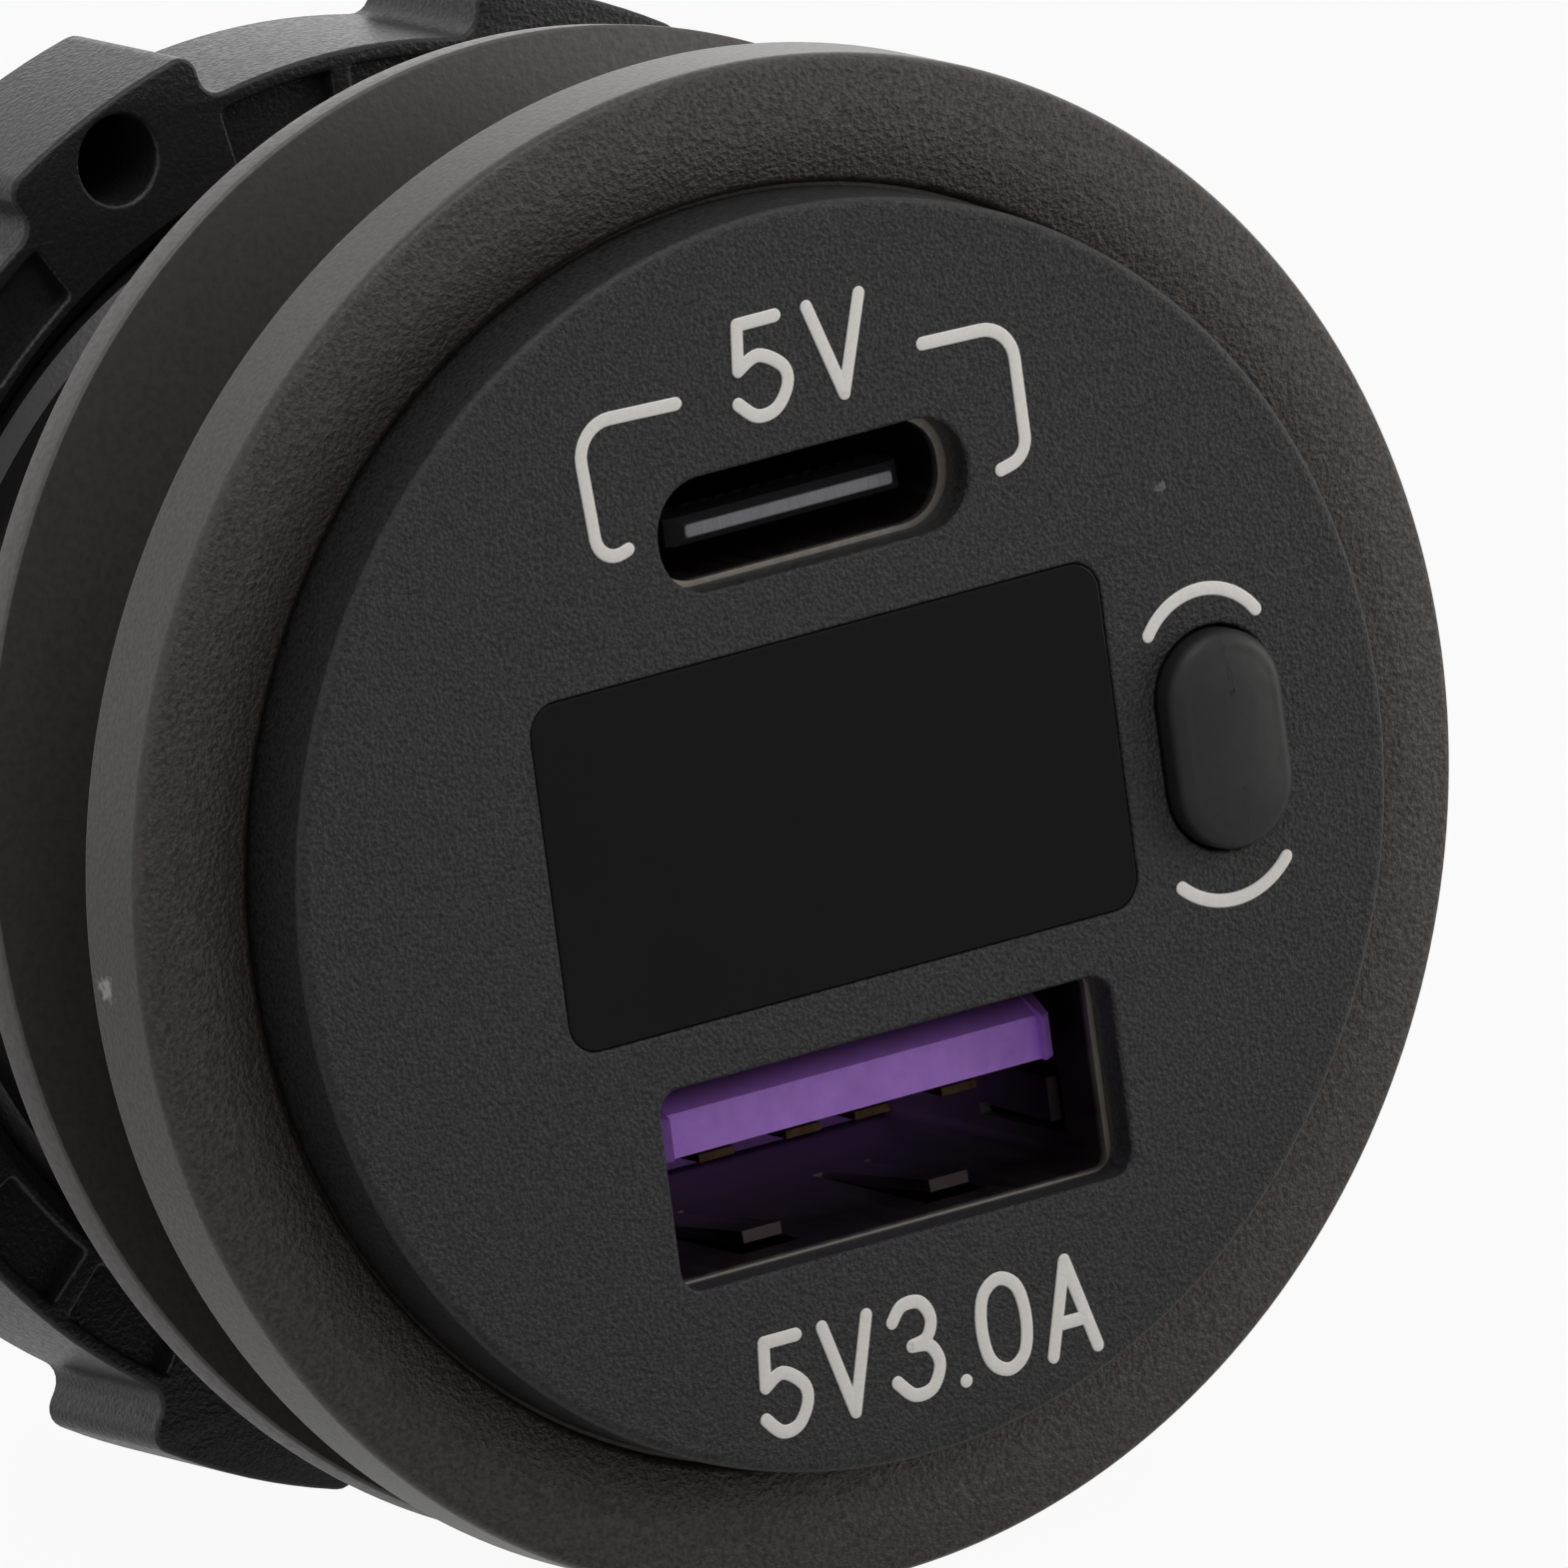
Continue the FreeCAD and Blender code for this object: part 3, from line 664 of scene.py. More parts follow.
@dataclass
class ThreadedHousing:
    """Bezel flange and threaded barrel, one moulding. Sizes are in millimetres."""

    flange_radius: float = 18.75
    flange_edge: float = 0.1
    rim_height: float = 2.5
    rim_rounding: float = 0.42
    crown: float = 0.24
    crown_inset: float = 0.1
    crown_rounding: float = 5.0
    lip_radius: float = 15.6
    lip_y: float = -2.4
    lip_rounding: float = 0.3
    plate_seat: float = -2.1
    seat_edge: float = 0.05
    counterbore_radius: float = 14.25
    ledge_y: float = -1.2
    bore_radius: float = 13.0
    bore_edge: float = 0.06
    root_radius: float = 14.0
    root_fillet: float = 0.15
    thread_height: float = 0.4
    thread_pitch: float = 2.5
    thread_start: float = 0.6
    thread_end: float = 29.6
    thread_fade: float = 2.0
    spare_turns: int = 2
    ridge: tuple[Flat, ...] = ((0.0, 0.0), (0.3, 0.0), (0.46, 1.0), (0.64, 1.0), (0.8, 0.0))
    shoulder_start: float = 30.0
    shoulder_end: float = 30.2
    tail_radius: float = 13.8
    tail_chamfer: float = 0.4
    tail_rounding: float = 0.12
    tail_edge: float = 0.08
    length: float = 34.0
    segments: int = 240

    def section(self) -> list[Flat]:
        """Give the section from the thread's end, through the bore, round to its start.

        Returns:
            Points of (radius, y).
        """
        crown_radius = (self.lip_radius + self.flange_radius) / 2 - self.crown_inset
        corners = [
            (self.root_radius, self.thread_end, 0.0),
            (self.root_radius, self.shoulder_start, 0.0),
            (self.tail_radius, self.shoulder_end, 0.0),
            (self.tail_radius, self.length - self.tail_chamfer, self.tail_rounding),
            (self.tail_radius - self.tail_chamfer, self.length, self.tail_edge),
            (self.bore_radius, self.length, self.bore_edge),
            (self.bore_radius, self.ledge_y, 0.0),
            (self.counterbore_radius, self.ledge_y, 0.0),
            (self.counterbore_radius, self.plate_seat, self.seat_edge),
            (self.lip_radius, self.plate_seat, 0.0),
            (self.lip_radius, self.lip_y, self.lip_rounding),
            (crown_radius, -self.rim_height - self.crown, self.crown_rounding),
            (self.flange_radius, -self.rim_height, self.rim_rounding),
            (self.flange_radius, 0.0, self.flange_edge),
            (self.root_radius, 0.0, self.root_fillet),
            (self.root_radius, self.thread_start, 0.0),
        ]
        return round_corners(corners, CORNER_STEPS, closed=False)

    def cut_thread(self, draft: MeshDraft) -> None:
        """Wind the thread's ridge between the two ends of the section.

        The ridge's points are shares of the pitch and of the thread's height. It fades in and
        out over thread_fade at its ends, and its spare turns are squeezed flat against them.

        Args:
            draft: Mesh that takes the thread.
        """
        start, end, pitch = self.thread_start, self.thread_end, self.thread_pitch
        steps = int(self.segments * ((end - start) / pitch + self.spare_turns))
        rows: list[list[int]] = []
        for step in range(steps + 1):
            turn = 2 * math.pi * step / self.segments
            row = []
            for share, lift in self.ridge:
                y = start - pitch + pitch * (step / self.segments + share)
                y = min(max(y, start), end)
                fade = min(1.0, (y - start) / self.thread_fade, (end - y) / self.thread_fade)
                radius = self.root_radius + self.thread_height * lift * fade
                row.append((radius * math.cos(turn), y, radius * math.sin(turn)))
            rows.append(draft.ring(row))
        for step in range(steps):
            draft.bridge(rows[step], rows[step + 1], closed=False)
            above = step + self.segments
            if above < steps:
                draft.faces.append((rows[step][-1], rows[step + 1][-1],
                                    rows[above + 1][0], rows[above][0]))

    def build(self) -> list[bpy.types.Object]:
        """Make the housing in place of its plain solid.

        Returns:
            The housing alone.
        """
        draft = MeshDraft()
        draft.turn(self.section(), self.segments, closed=False)
        self.cut_thread(draft)
        piece = draft.make("housing_with_thread", HOUSING_ABS, Body.CHARGER)
        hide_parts("threaded_housing")
        return [piece]


@dataclass(frozen=True)
class Opening:
    """Upright outline with round corners, in millimetres."""

    x: float
    z: float
    width: float
    height: float
    corner: float

    def loop(self) -> list[Flat]:
        """Give the outline.

        Returns:
            Points of (x, z), anticlockwise.
        """
        radius = min(self.corner, LARGEST_ROUND * self.width / 2,
                     LARGEST_ROUND * self.height / 2)
        corners = [(self.x + sx * self.width / 2, self.z + sz * self.height / 2, radius)
                   for sx, sz in ((1, -1), (1, 1), (-1, 1), (-1, -1))]
        return round_corners(corners, CORNER_STEPS, closed=True)

    def at(self, y: float) -> list[Point]:
        """Give the outline's points at a depth."""
        return [(x, y, z) for x, z in self.loop()]


@dataclass
class FacePlate:
    """Raised round plate with its openings, in millimetres."""

    radius: float = 15.5
    front: float = -4.6
    back: float = -3.0
    seat: float = -2.1
    edge: float = 0.28
    land: float = 1.0
    skirt_radius: float = 14.15
    skirt_wall: float = 0.9
    skirt_end: float = -1.3
    hidden_edge: float = 0.05
    window: Opening = Opening(-0.22, 0.77, 16.4, 8.7, 0.8)
    window_edge: float = 0.07
    shelf: Opening = Opening(-0.22, 0.77, 14.6, 6.9, 0.4)
    shelf_y: float = -3.6
    ports: tuple[tuple[Opening, Opening], ...] = (
        (Opening(0.3, -7.5, 13.0, 5.0, 0.6), Opening(0.3, -7.5, 13.66, 5.86, 0.6)),
        (Opening(0.3, 8.17, 8.86, 2.82, 1.32), Opening(0.3, 8.17, 9.34, 3.56, 1.65)),
    )
    port_edge: float = 0.11
    lip_back: float = -3.65
    button: Opening = Opening(10.8, -0.06, 3.44, 5.6, 1.72)
    button_edge: float = 0.09
    segments: int = 256

    def bore(self, draft: MeshDraft, mouth: Opening, edge: float,
             steps: Sequence[tuple[Opening, float]]) -> tuple[list[int], list[int]]:
        """Cut one opening, which may widen or narrow on its way through the plate.

        Args:
            draft: Mesh that takes the walls.
            mouth: The opening in the front face.
            edge: Rounding of its lip.
            steps: Outline and depth at each further turn of the wall.

        Returns:
            The lip's ring in the front face and the last ring at the back.
        """
        lip = draft.rounded_rim(mouth.loop(), self.front, -edge, 1)
        last = lip[-1]
        for outline, y in steps:
            ring = draft.ring(outline.at(y))
            draft.bridge(last, ring)
            last = ring
        return lip[0], last

    def build(self) -> list[bpy.types.Object]:
        """Make the plate in place of its plain solid.

        Returns:
            The plate alone.
        """
        draft = MeshDraft()
        inner = self.skirt_radius - self.skirt_wall
        section = round_corners([
            (self.radius - self.land, self.front, 0.0),
            (self.radius, self.front, self.edge),
            (self.radius, self.seat, self.hidden_edge),
            (self.skirt_radius, self.seat, 0.0),
            (self.skirt_radius, self.skirt_end, self.hidden_edge),
            (inner, self.skirt_end, self.hidden_edge),
            (inner, self.back, 0.0),
        ], CORNER_STEPS, closed=False)
        rings = draft.turn(section[1:], self.segments, closed=False)
        cuts = [self.bore(draft, self.window, self.window_edge,
                          [(self.window, self.shelf_y), (self.shelf, self.shelf_y),
                           (self.shelf, self.back)]),
                self.bore(draft, self.button, self.button_edge, [(self.button, self.back)])]
        for mouth, pocket in self.ports:
            cuts.append(self.bore(draft, mouth, self.port_edge,
                                  [(mouth, self.lip_back), (pocket, self.lip_back),
                                   (pocket, self.back)]))
        draft.plate(rings[0], [front for front, _ in cuts])
        draft.plate(rings[-1], [back for _, back in cuts])
        piece = draft.make("face_plate_moulding", FACE_ABS, Body.CHARGER)
        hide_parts("face_plate")
        return [piece]


@dataclass
class PowerButton:
    """Oval button with a softly domed front and two retaining wings, in millimetres."""

    outline: Opening = Opening(10.8, -0.06, 3.28, 5.44, 1.64)
    wings: Opening = Opening(10.8, -0.06, 1.64, 7.24, 0.1)
    top: float = -5.4
    wing_front: float = -2.85
    back: float = -2.35
    edge: float = 0.42
    dome: float = 0.12
    dome_reach: float = 0.97
    steps: int = 8

    def build(self) -> list[bpy.types.Object]:
        """Make the button in place of its plain solid.

        Returns:
            The button alone.
        """
        draft = MeshDraft()
        loop = self.outline.loop()
        rim = draft.rounded_rim(loop, self.top + self.dome, self.edge, 1, self.steps)
        rings = [draft.ring(self.outline.at(self.back)), *reversed(rim)]
        draft.bridge(rings[0], rings[1])
        reach = self.outline.width / 2 * self.dome_reach - self.edge
        last = rings[-1]
        for step in range(1, self.steps + 1):
            share = step / self.steps
            crown = self.top + self.dome * (1 - share) ** 2
            ring = draft.ring([(x, crown, z) for x, z in inset(loop, self.edge + reach * share)])
            draft.bridge(last, ring)
            last = ring
        draft.plate(last)
        draft.plate(rings[0])
        wings = [draft.ring(self.wings.at(y)) for y in (self.wing_front, self.back)]
        draft.bridge(wings[0], wings[1])
        for ring in wings:
            draft.plate(ring)
        piece = draft.make("button_cap", BUTTON_ABS, Body.BUTTON)
        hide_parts("power_button")
        return [piece]


@dataclass(frozen=True)
class Rating:
    """One printed row of figures, in millimetres.

    Attributes:
        figures: The figures, in order.
        middle: Centre of the row on the face.
        width: Each figure's width; a dot takes a stroke's width.
        height: Each figure's height.
        gap: Space between two figures.
    """

    figures: str
    middle: Flat
    width: float
    height: float
    gap: float


@dataclass
class PrintedMarks:
    """Pad-printed brackets, arcs and plain rating figures on the face, in millimetres."""

    face: float = -4.6
    film: float = 0.035
    stroke: float = 0.34
    section_steps: int = 6
    end_steps: int = 5
    tip: float = 0.02
    film_swell: float = 0.5
    tip_swell: float = 0.3
    brackets: tuple[tuple[tuple[float, float, float], ...], ...] = (
        ((-3.18, 11.49, 0), (-6.06, 11.6, 0.9), (-5.86, 8.05, 0.55), (-5.02, 8.3, 0)),
        ((3.89, 11.36, 0), (6.42, 11.28, 0.9), (6.42, 8.0, 0.62), (5.63, 7.82, 0)),
    )
    arcs: tuple[tuple[Flat, Flat, Flat], ...] = (
        ((9.13, 2.86), (10.71, 3.66), (12.23, 2.83)),
        ((9.15, -3.45), (10.68, -4.05), (12.19, -3.36)),
    )
    arc_steps: int = 24
    ratings: tuple[Rating, ...] = (
        Rating("5V", (0.42, 11.83), 1.85, 2.65, 0.42),
        Rating("5V3.0A", (0.33, -12.79), 1.62, 2.6, 0.29),
    )

    def stripe(self, draft: MeshDraft, path: Sequence[Flat], closed: bool = False) -> None:
        """Add one stroke with round ends.

        Args:
            draft: Mesh that takes the stroke.
            path: Centreline on the face, as (x, z) points.
            closed: Whether the stroke runs back to its start.
        """
        half = self.stroke / 2
        stations: list[tuple[Vector, float, Vector]] = []
        count = len(path)
        for index in range(count):
            here = Vector(path[index])
            after = Vector(path[(index + 1) % count] if closed else path[min(index + 1, count - 1)])
            before = Vector(path[index - 1] if closed or index > 0 else path[0])
            stations.append((here, 1.0, (after - before).normalized()))
        if not closed:
            first, last = stations[0], stations[-1]
            ends = [math.pi / 2 * k / self.end_steps for k in range(1, self.end_steps + 1)]
            head = [(first[0] - first[2] * half * math.sin(t), math.cos(t), first[2])
                    for t in reversed(ends)]
            tail = [(last[0] + last[2] * half * math.sin(t), math.cos(t), last[2]) for t in ends]
            stations = head + stations + tail
        rows = []
        for here, share, along in stations:
            side = Vector((-along.y, along.x))
            share = max(share, self.tip)
            row = []
            for k in range(self.section_steps + 1):
                t = math.pi * k / self.section_steps
                offset = here + side * half * share * math.cos(t)
                lift = self.film * math.sin(t) ** self.film_swell * share ** self.tip_swell
                row.append((offset.x, self.face - lift, offset.y))
            rows.append(draft.ring(row))
        for first_row, second_row in zip(rows, rows[1:] + rows[:1] if closed else rows[1:]):
            draft.bridge(first_row, second_row)
        if not closed:
            draft.faces.append(tuple(rows[0]))
            draft.faces.append(tuple(rows[-1]))

    @staticmethod
    def glyph(figure: str) -> list[tuple[list[Flat], bool]]:
        """Give a figure's strokes in a box of 1 by 1.

        Args:
            figure: The figure to draw.

        Returns:
            Each stroke's path, and whether it is closed.
        """
        oval = [(0.5, 1.0), (0.88, 0.86), (1.0, 0.5), (0.88, 0.14), (0.5, 0.0), (0.12, 0.14),
                (0.0, 0.5), (0.12, 0.86)]
        upper_bow = [(0.05, 0.84), (0.3, 0.99), (0.7, 0.98), (0.9, 0.78), (0.76, 0.58),
                     (0.42, 0.53)]
        lower_bow = [(0.42, 0.53), (0.8, 0.49), (0.98, 0.27), (0.76, 0.03), (0.34, 0.0),
                     (0.0, 0.18)]
        bowl = [(0.1, 0.52), (0.5, 0.63), (0.93, 0.46), (0.98, 0.25), (0.72, 0.03), (0.34, 0.0),
                (0.02, 0.17)]
        shapes = {
            "0": [(smooth_path(oval, CURVE_STEPS, closed=True), True)],
            "3": [(smooth_path(upper_bow, CURVE_STEPS), False),
                  (smooth_path(lower_bow, CURVE_STEPS), False)],
            "5": [([(0.9, 1.0), (0.18, 1.0)], False), ([(0.18, 1.0), (0.1, 0.52)], False),
                  (smooth_path(bowl, CURVE_STEPS), False)],
            "V": [([(0.0, 1.0), (0.5, 0.0)], False), ([(0.5, 0.0), (1.0, 1.0)], False)],
            "A": [([(0.0, 0.0), (0.5, 1.0)], False), ([(0.5, 1.0), (1.0, 0.0)], False),
                  ([(0.19, 0.33), (0.81, 0.33)], False)],
            ".": [([(0.45, 0.0), (0.55, 0.0)], False)],
        }
        return shapes[figure]

    def print_rating(self, draft: MeshDraft, rating: Rating) -> None:
        """Print a row of figures.

        Args:
            draft: Mesh that takes the strokes.
            rating: The row.
        """
        widths = [self.stroke if figure == "." else rating.width for figure in rating.figures]
        left = rating.middle[0] - (sum(widths) + rating.gap * (len(widths) - 1)) / 2
        for figure, across in zip(rating.figures, widths):
            scale_x = max(across - self.stroke, self.tip)
            scale_z = rating.height - self.stroke
            for path, closed in self.glyph(figure):
                moved = [(left + self.stroke / 2 + u * scale_x,
                          rating.middle[1] + (v - 0.5) * scale_z) for u, v in path]
                self.stripe(draft, moved, closed)
            left += across + rating.gap

    def build(self) -> list[bpy.types.Object]:
        """Print everything on the face.

        Returns:
            The film of ink, one piece.
        """
        draft = MeshDraft()
        for bracket in self.brackets:
            self.stripe(draft, round_corners(bracket, CORNER_STEPS, closed=False))
        for start, middle, end in self.arcs:
            self.stripe(draft, arc_through(start, middle, end, self.arc_steps))
        for rating in self.ratings:
            self.print_rating(draft, rating)
        piece = draft.make("printed_marks", PAD_INK, Body.CHARGER)
        return [piece]


@dataclass
class SealingWasher:
    """Flat rubber ring, tipped on the barrel, in millimetres and degrees."""

    inner_radius: float = 14.75
    outer_radius: float = 18.4
    thickness: float = 0.95
    rounding: float = 0.1
    rounding_steps: int = 5
    y: float = 5.9
    lean: float = 5.2
    yaw: float = 3.9
    segments: int = 240

    def build(self) -> list[bpy.types.Object]:
        """Make the ring in place of its plain solid.

        Returns:
            The washer alone.
        """
        corners = [(self.inner_radius, 0.0, self.rounding), (self.outer_radius, 0.0, self.rounding),
                   (self.outer_radius, self.thickness, self.rounding),
                   (self.inner_radius, self.thickness, self.rounding)]
        draft = MeshDraft()
        draft.turn(round_corners(corners, self.rounding_steps, closed=True), self.segments)
        tip = (Matrix.Rotation(math.radians(self.yaw), 3, "Z")
               @ Matrix.Rotation(math.radians(-self.lean), 3, "X"))
        draft.points = [tuple(tip @ Vector(p) + Vector((0, self.y, 0))) for p in draft.points]
        piece = draft.make("rubber_washer", WASHER_RUBBER, Body.CHARGER)
        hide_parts("sealing_washer")
        return [piece]


@dataclass
class RingNut:
    """Clamp nut with spanner lugs and shallow front pockets, in millimetres and degrees."""

    front: float = 15.0
    length: float = 5.1
    bore: float = 14.55
    mouth: float = 0.45
    bore_segments: int = 180
    pocket_inner: float = 15.25
    pocket_outer: float = 16.75
    pocket_depth: float = 0.5
    pocket_start: float = 10.5
    pocket_corner: float = 0.12
    pocket_corner_steps: int = 3
    rib_half: float = 1.0
    ring_radius: float = 17.2
    lug_radius: float = 18.5
    lugs: int = 8
    first_lug: float = 111.2
    lug_half: float = 9.5
    lug_corner: float = 0.5
    lug_foot: float = 0.55
    lug_corner_steps: int = 5
    arc_step: float = 2.0
    hole_radius: float = 1.1
    hole_centre: float = 17.1
    hole_depth: float = 4.5
    hole_segments: int = 48
    edge: float = 0.13

    def arc(self, radius: float, start: float, end: float) -> list[Flat]:
        """Draw part of a circle round the axis.

        Args:
            radius: The circle's radius.
            start: Angle where the arc starts, in degrees.
            end: Angle where it ends.

        Returns:
            Points along the arc.
        """
        pieces = max(1, round(abs(end - start) / self.arc_step))
        turns = [math.radians(start + (end - start) * k / pieces) for k in range(pieces + 1)]
        return [(radius * math.cos(t), radius * math.sin(t)) for t in turns]

    def outline(self) -> list[Flat]:
        """Give the nut's outline with rounded lug corners and filleted lug feet.

        Returns:
            Points of (x, z), anticlockwise.
        """
        pitch = 360 / self.lugs
        corners: list[tuple[float, float, float]] = []
        for lug in range(self.lugs):
            middle = self.first_lug + lug * pitch
            top = self.arc(self.lug_radius, middle - self.lug_half, middle + self.lug_half)
            gap = self.arc(self.ring_radius, middle + self.lug_half,
                           middle + pitch - self.lug_half)
            corners.extend(round_ends(top, self.lug_corner))
            corners.extend(round_ends(gap, self.lug_foot))
        return round_corners(corners, self.lug_corner_steps, closed=True)

    def pockets(self) -> list[list[Flat]]:
        """Give the outline of each pocket, two between neighbouring lugs.

        Returns:
            One loop of (x, z) points for each pocket.
        """
        pitch = 360 / self.lugs
        loops = []
        for lug in range(self.lugs):
            middle = self.first_lug + lug * pitch
            for start, end in ((self.pocket_start, pitch / 2 - self.rib_half),
                               (pitch / 2 + self.rib_half, pitch - self.pocket_start)):
                outer = self.arc(self.pocket_outer, middle + start, middle + end)
                inner = self.arc(self.pocket_inner, middle + end, middle + start)
                corners = (round_ends(outer, self.pocket_corner)
                           + round_ends(inner, self.pocket_corner))
                loops.append(round_corners(corners, self.pocket_corner_steps, closed=True))
        return loops

    def blind_hole(self) -> list[Flat]:
        """Give the outline of the round hole in the first lug.

        Returns:
            Points of (x, z).
        """
        t = math.radians(self.first_lug)
        x, z = self.hole_centre * math.cos(t), self.hole_centre * math.sin(t)
        return [(x + self.hole_radius * math.cos(a), z + self.hole_radius * math.sin(a))
                for a in angles(self.hole_segments)]

    def sink(self, draft: MeshDraft, loop: Sequence[Flat], depth: float) -> list[int]:
        """Sink a blind hollow with a rounded lip into the front face.

        Args:
            draft: Mesh that takes the hollow.
            loop: Its outline.
            depth: How far its floor lies behind the front face.

        Returns:
            The ring that bounds it in the front face.
        """
        lip = draft.rounded_rim(loop, self.front, -self.edge, 1)
        floor = draft.ring([(x, self.front + depth, z) for x, z in loop])
        draft.bridge(lip[-1], floor)
        draft.plate(floor)
        return lip[0]

    def build(self) -> list[bpy.types.Object]:
        """Make the nut in place of its plain solid.

        Returns:
            The nut alone.
        """
        draft = MeshDraft()
        back = self.front + self.length
        outline = self.outline()
        front_rim = draft.rounded_rim(outline, self.front, self.edge, 1)
        back_rim = draft.rounded_rim(outline, back, self.edge, -1)
        draft.bridge(front_rim[-1], back_rim[-1])
        wide = self.bore + self.mouth
        bore = draft.turn([(wide, self.front), (self.bore, self.front + self.mouth),
                           (self.bore, back - self.mouth), (wide, back)],
                          self.bore_segments, closed=False)
        lips = [self.sink(draft, loop, self.pocket_depth) for loop in self.pockets()]
        lips.append(self.sink(draft, self.blind_hole(), self.hole_depth))
        draft.plate(front_rim[0], [bore[0], *lips])
        draft.plate(back_rim[0], [bore[-1]])
        piece = draft.make("ring_nut_moulding", NUT_NYLON, Body.CHARGER)
        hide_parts("ring_nut")
        return [piece]


@dataclass
class Controls:
    """The button's switch, and the meter's pane and digits, in millimetres."""

    pane: Opening = Opening(-0.22, 0.77, 16.38, 8.68, 0.79)
    front: float = -4.58
    back: float = -3.6
    edge: float = 0.08

    def build(self) -> list[bpy.types.Object]:
        """Dress the switch and the digits, and set the pane softly into its opening.

        Returns:
            The switch's two parts, the digits and the pane.
        """
        dressed = [dress("switch_plunger", BUTTON_ABS), dress("tact_switch", EPOXY_BLACK),
                   dress("display_module", EPOXY_BLACK)]
        draft = MeshDraft()
        rim = draft.rounded_rim(self.pane.loop(), self.front, self.edge, 1)
        back = draft.ring(self.pane.at(self.back))
        draft.bridge(rim[-1], back)
        draft.plate(rim[0])
        draft.plate(back)
        piece = draft.make("meter_pane", SMOKED_ACRYLIC, Body.CHARGER)
        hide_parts("display_window")
        return [*dressed, piece]


@dataclass
class Ports:
    """Both charging ports, with the tongues that show in them, in millimetres."""

    middle: float = 0.3
    large_half: float = 5.75
    large_front: float = -3.1
    large_back: float = 9.0
    large_section: tuple[Flat, ...] = ((9.0, -7.14), (-3.0, -7.14), (-3.1, -7.06), (-3.1, -6.05),
                                       (-2.05, -5.58), (9.0, -5.58))
    end_bevel: float = 0.36
    tongue_edge: float = 0.05
    base: Opening = Opening(0.3, -7.5, 12.5, 4.7, 0.3)
    base_front: float = 6.4
    plate_edge: Opening = Opening(0.3, 8.05, 5.96, 0.33, 0.1)
    plate_front: float = -3.43
    plate_depth: float = 0.1
    plate_rounding: float = 0.04

    def large_tongue(self) -> bpy.types.Object:
        """Make the large port's tongue with its bevelled nose, and the block behind it.

        Returns:
            The tongue.
        """
        draft = MeshDraft()
        reach = self.large_front + self.end_bevel
        rows = []
        for side in (-1, 1):
            for half in (self.large_half, self.large_half - self.end_bevel)[::side]:
                pulled = half < self.large_half
                rows.append(draft.ring([
                    (self.middle + side * half, y if pulled else max(y, reach), z)
                    for y, z in self.large_section]))
        for first, second in zip(rows, rows[1:]):
            draft.bridge(first, second)
        draft.plate(rows[0])
        draft.plate(rows[-1])
        rings = [draft.ring(self.base.at(y)) for y in (self.base_front, self.large_back)]
        draft.bridge(rings[0], rings[1])
        for ring in rings:
            draft.plate(ring)
        piece = draft.make("large_tongue", PURPLE_PBT, Body.CHARGER, self.tongue_edge)
        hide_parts("usb_a_tongue")
        return piece

    def mid_plate(self) -> bpy.types.Object:
        """Make the small tongue's mid-plate edge, which shows as a thin line.

        Returns:
            The edge.
        """
        draft = MeshDraft()
        rim = draft.rounded_rim(self.plate_edge.loop(), self.plate_front, self.plate_rounding, 1)
        back = draft.ring(self.plate_edge.at(self.plate_front + self.plate_depth))
        draft.bridge(rim[-1], back)
        draft.plate(rim[0])
        draft.plate(back)
        piece = draft.make("mid_plate_edge", PLATE_EDGE, Body.CHARGER)
        return piece

    def build(self) -> list[bpy.types.Object]:
        """Dress the ports' CAD nodes and add what shows in their mouths.

        Returns:
            The ports' pieces.
        """
        # The shells carry painted shade and a painted reflection of the purple tongue; the contacts
        # carry painted shade
        dressed = [dress(node, finish) for node, finish in (
            ("usb_a_shell", NICKEL_STEEL_PAINTED_SHADE_AND_REFLECTION), ("usb_c_shell", NICKEL_STEEL_PAINTED_SHADE_AND_REFLECTION),
            ("usb_c_tongue", BLACK_LCP), ("usb_a_contacts", GOLD_PAINTED_SHADE_NOSE),
            ("usb_c_contacts", CONTACT_PAINTED_SHADE))]
        return [*dressed, self.large_tongue(), self.mid_plate()]


@dataclass
class Electronics:
    """Circuit boards and the parts on them."""

    def build(self) -> list[bpy.types.Object]:
        """Dress the CAD nodes of the boards and their parts.

        Returns:
            The boards and their parts.
        """
        return [dress(node, finish) for node, finish in (
            ("display_board", SOLDER_MASK), ("port_board", SOLDER_MASK),
            ("power_board", SOLDER_MASK), ("front_board_pins", GOLD_FLASH),
            ("rear_board_pins", GOLD_FLASH), ("power_inductor", FERRITE),
            ("input_capacitor", CAN_ALUMINIUM), ("output_capacitors", CAN_ALUMINIUM),
            ("board_chips", EPOXY_BLACK))]


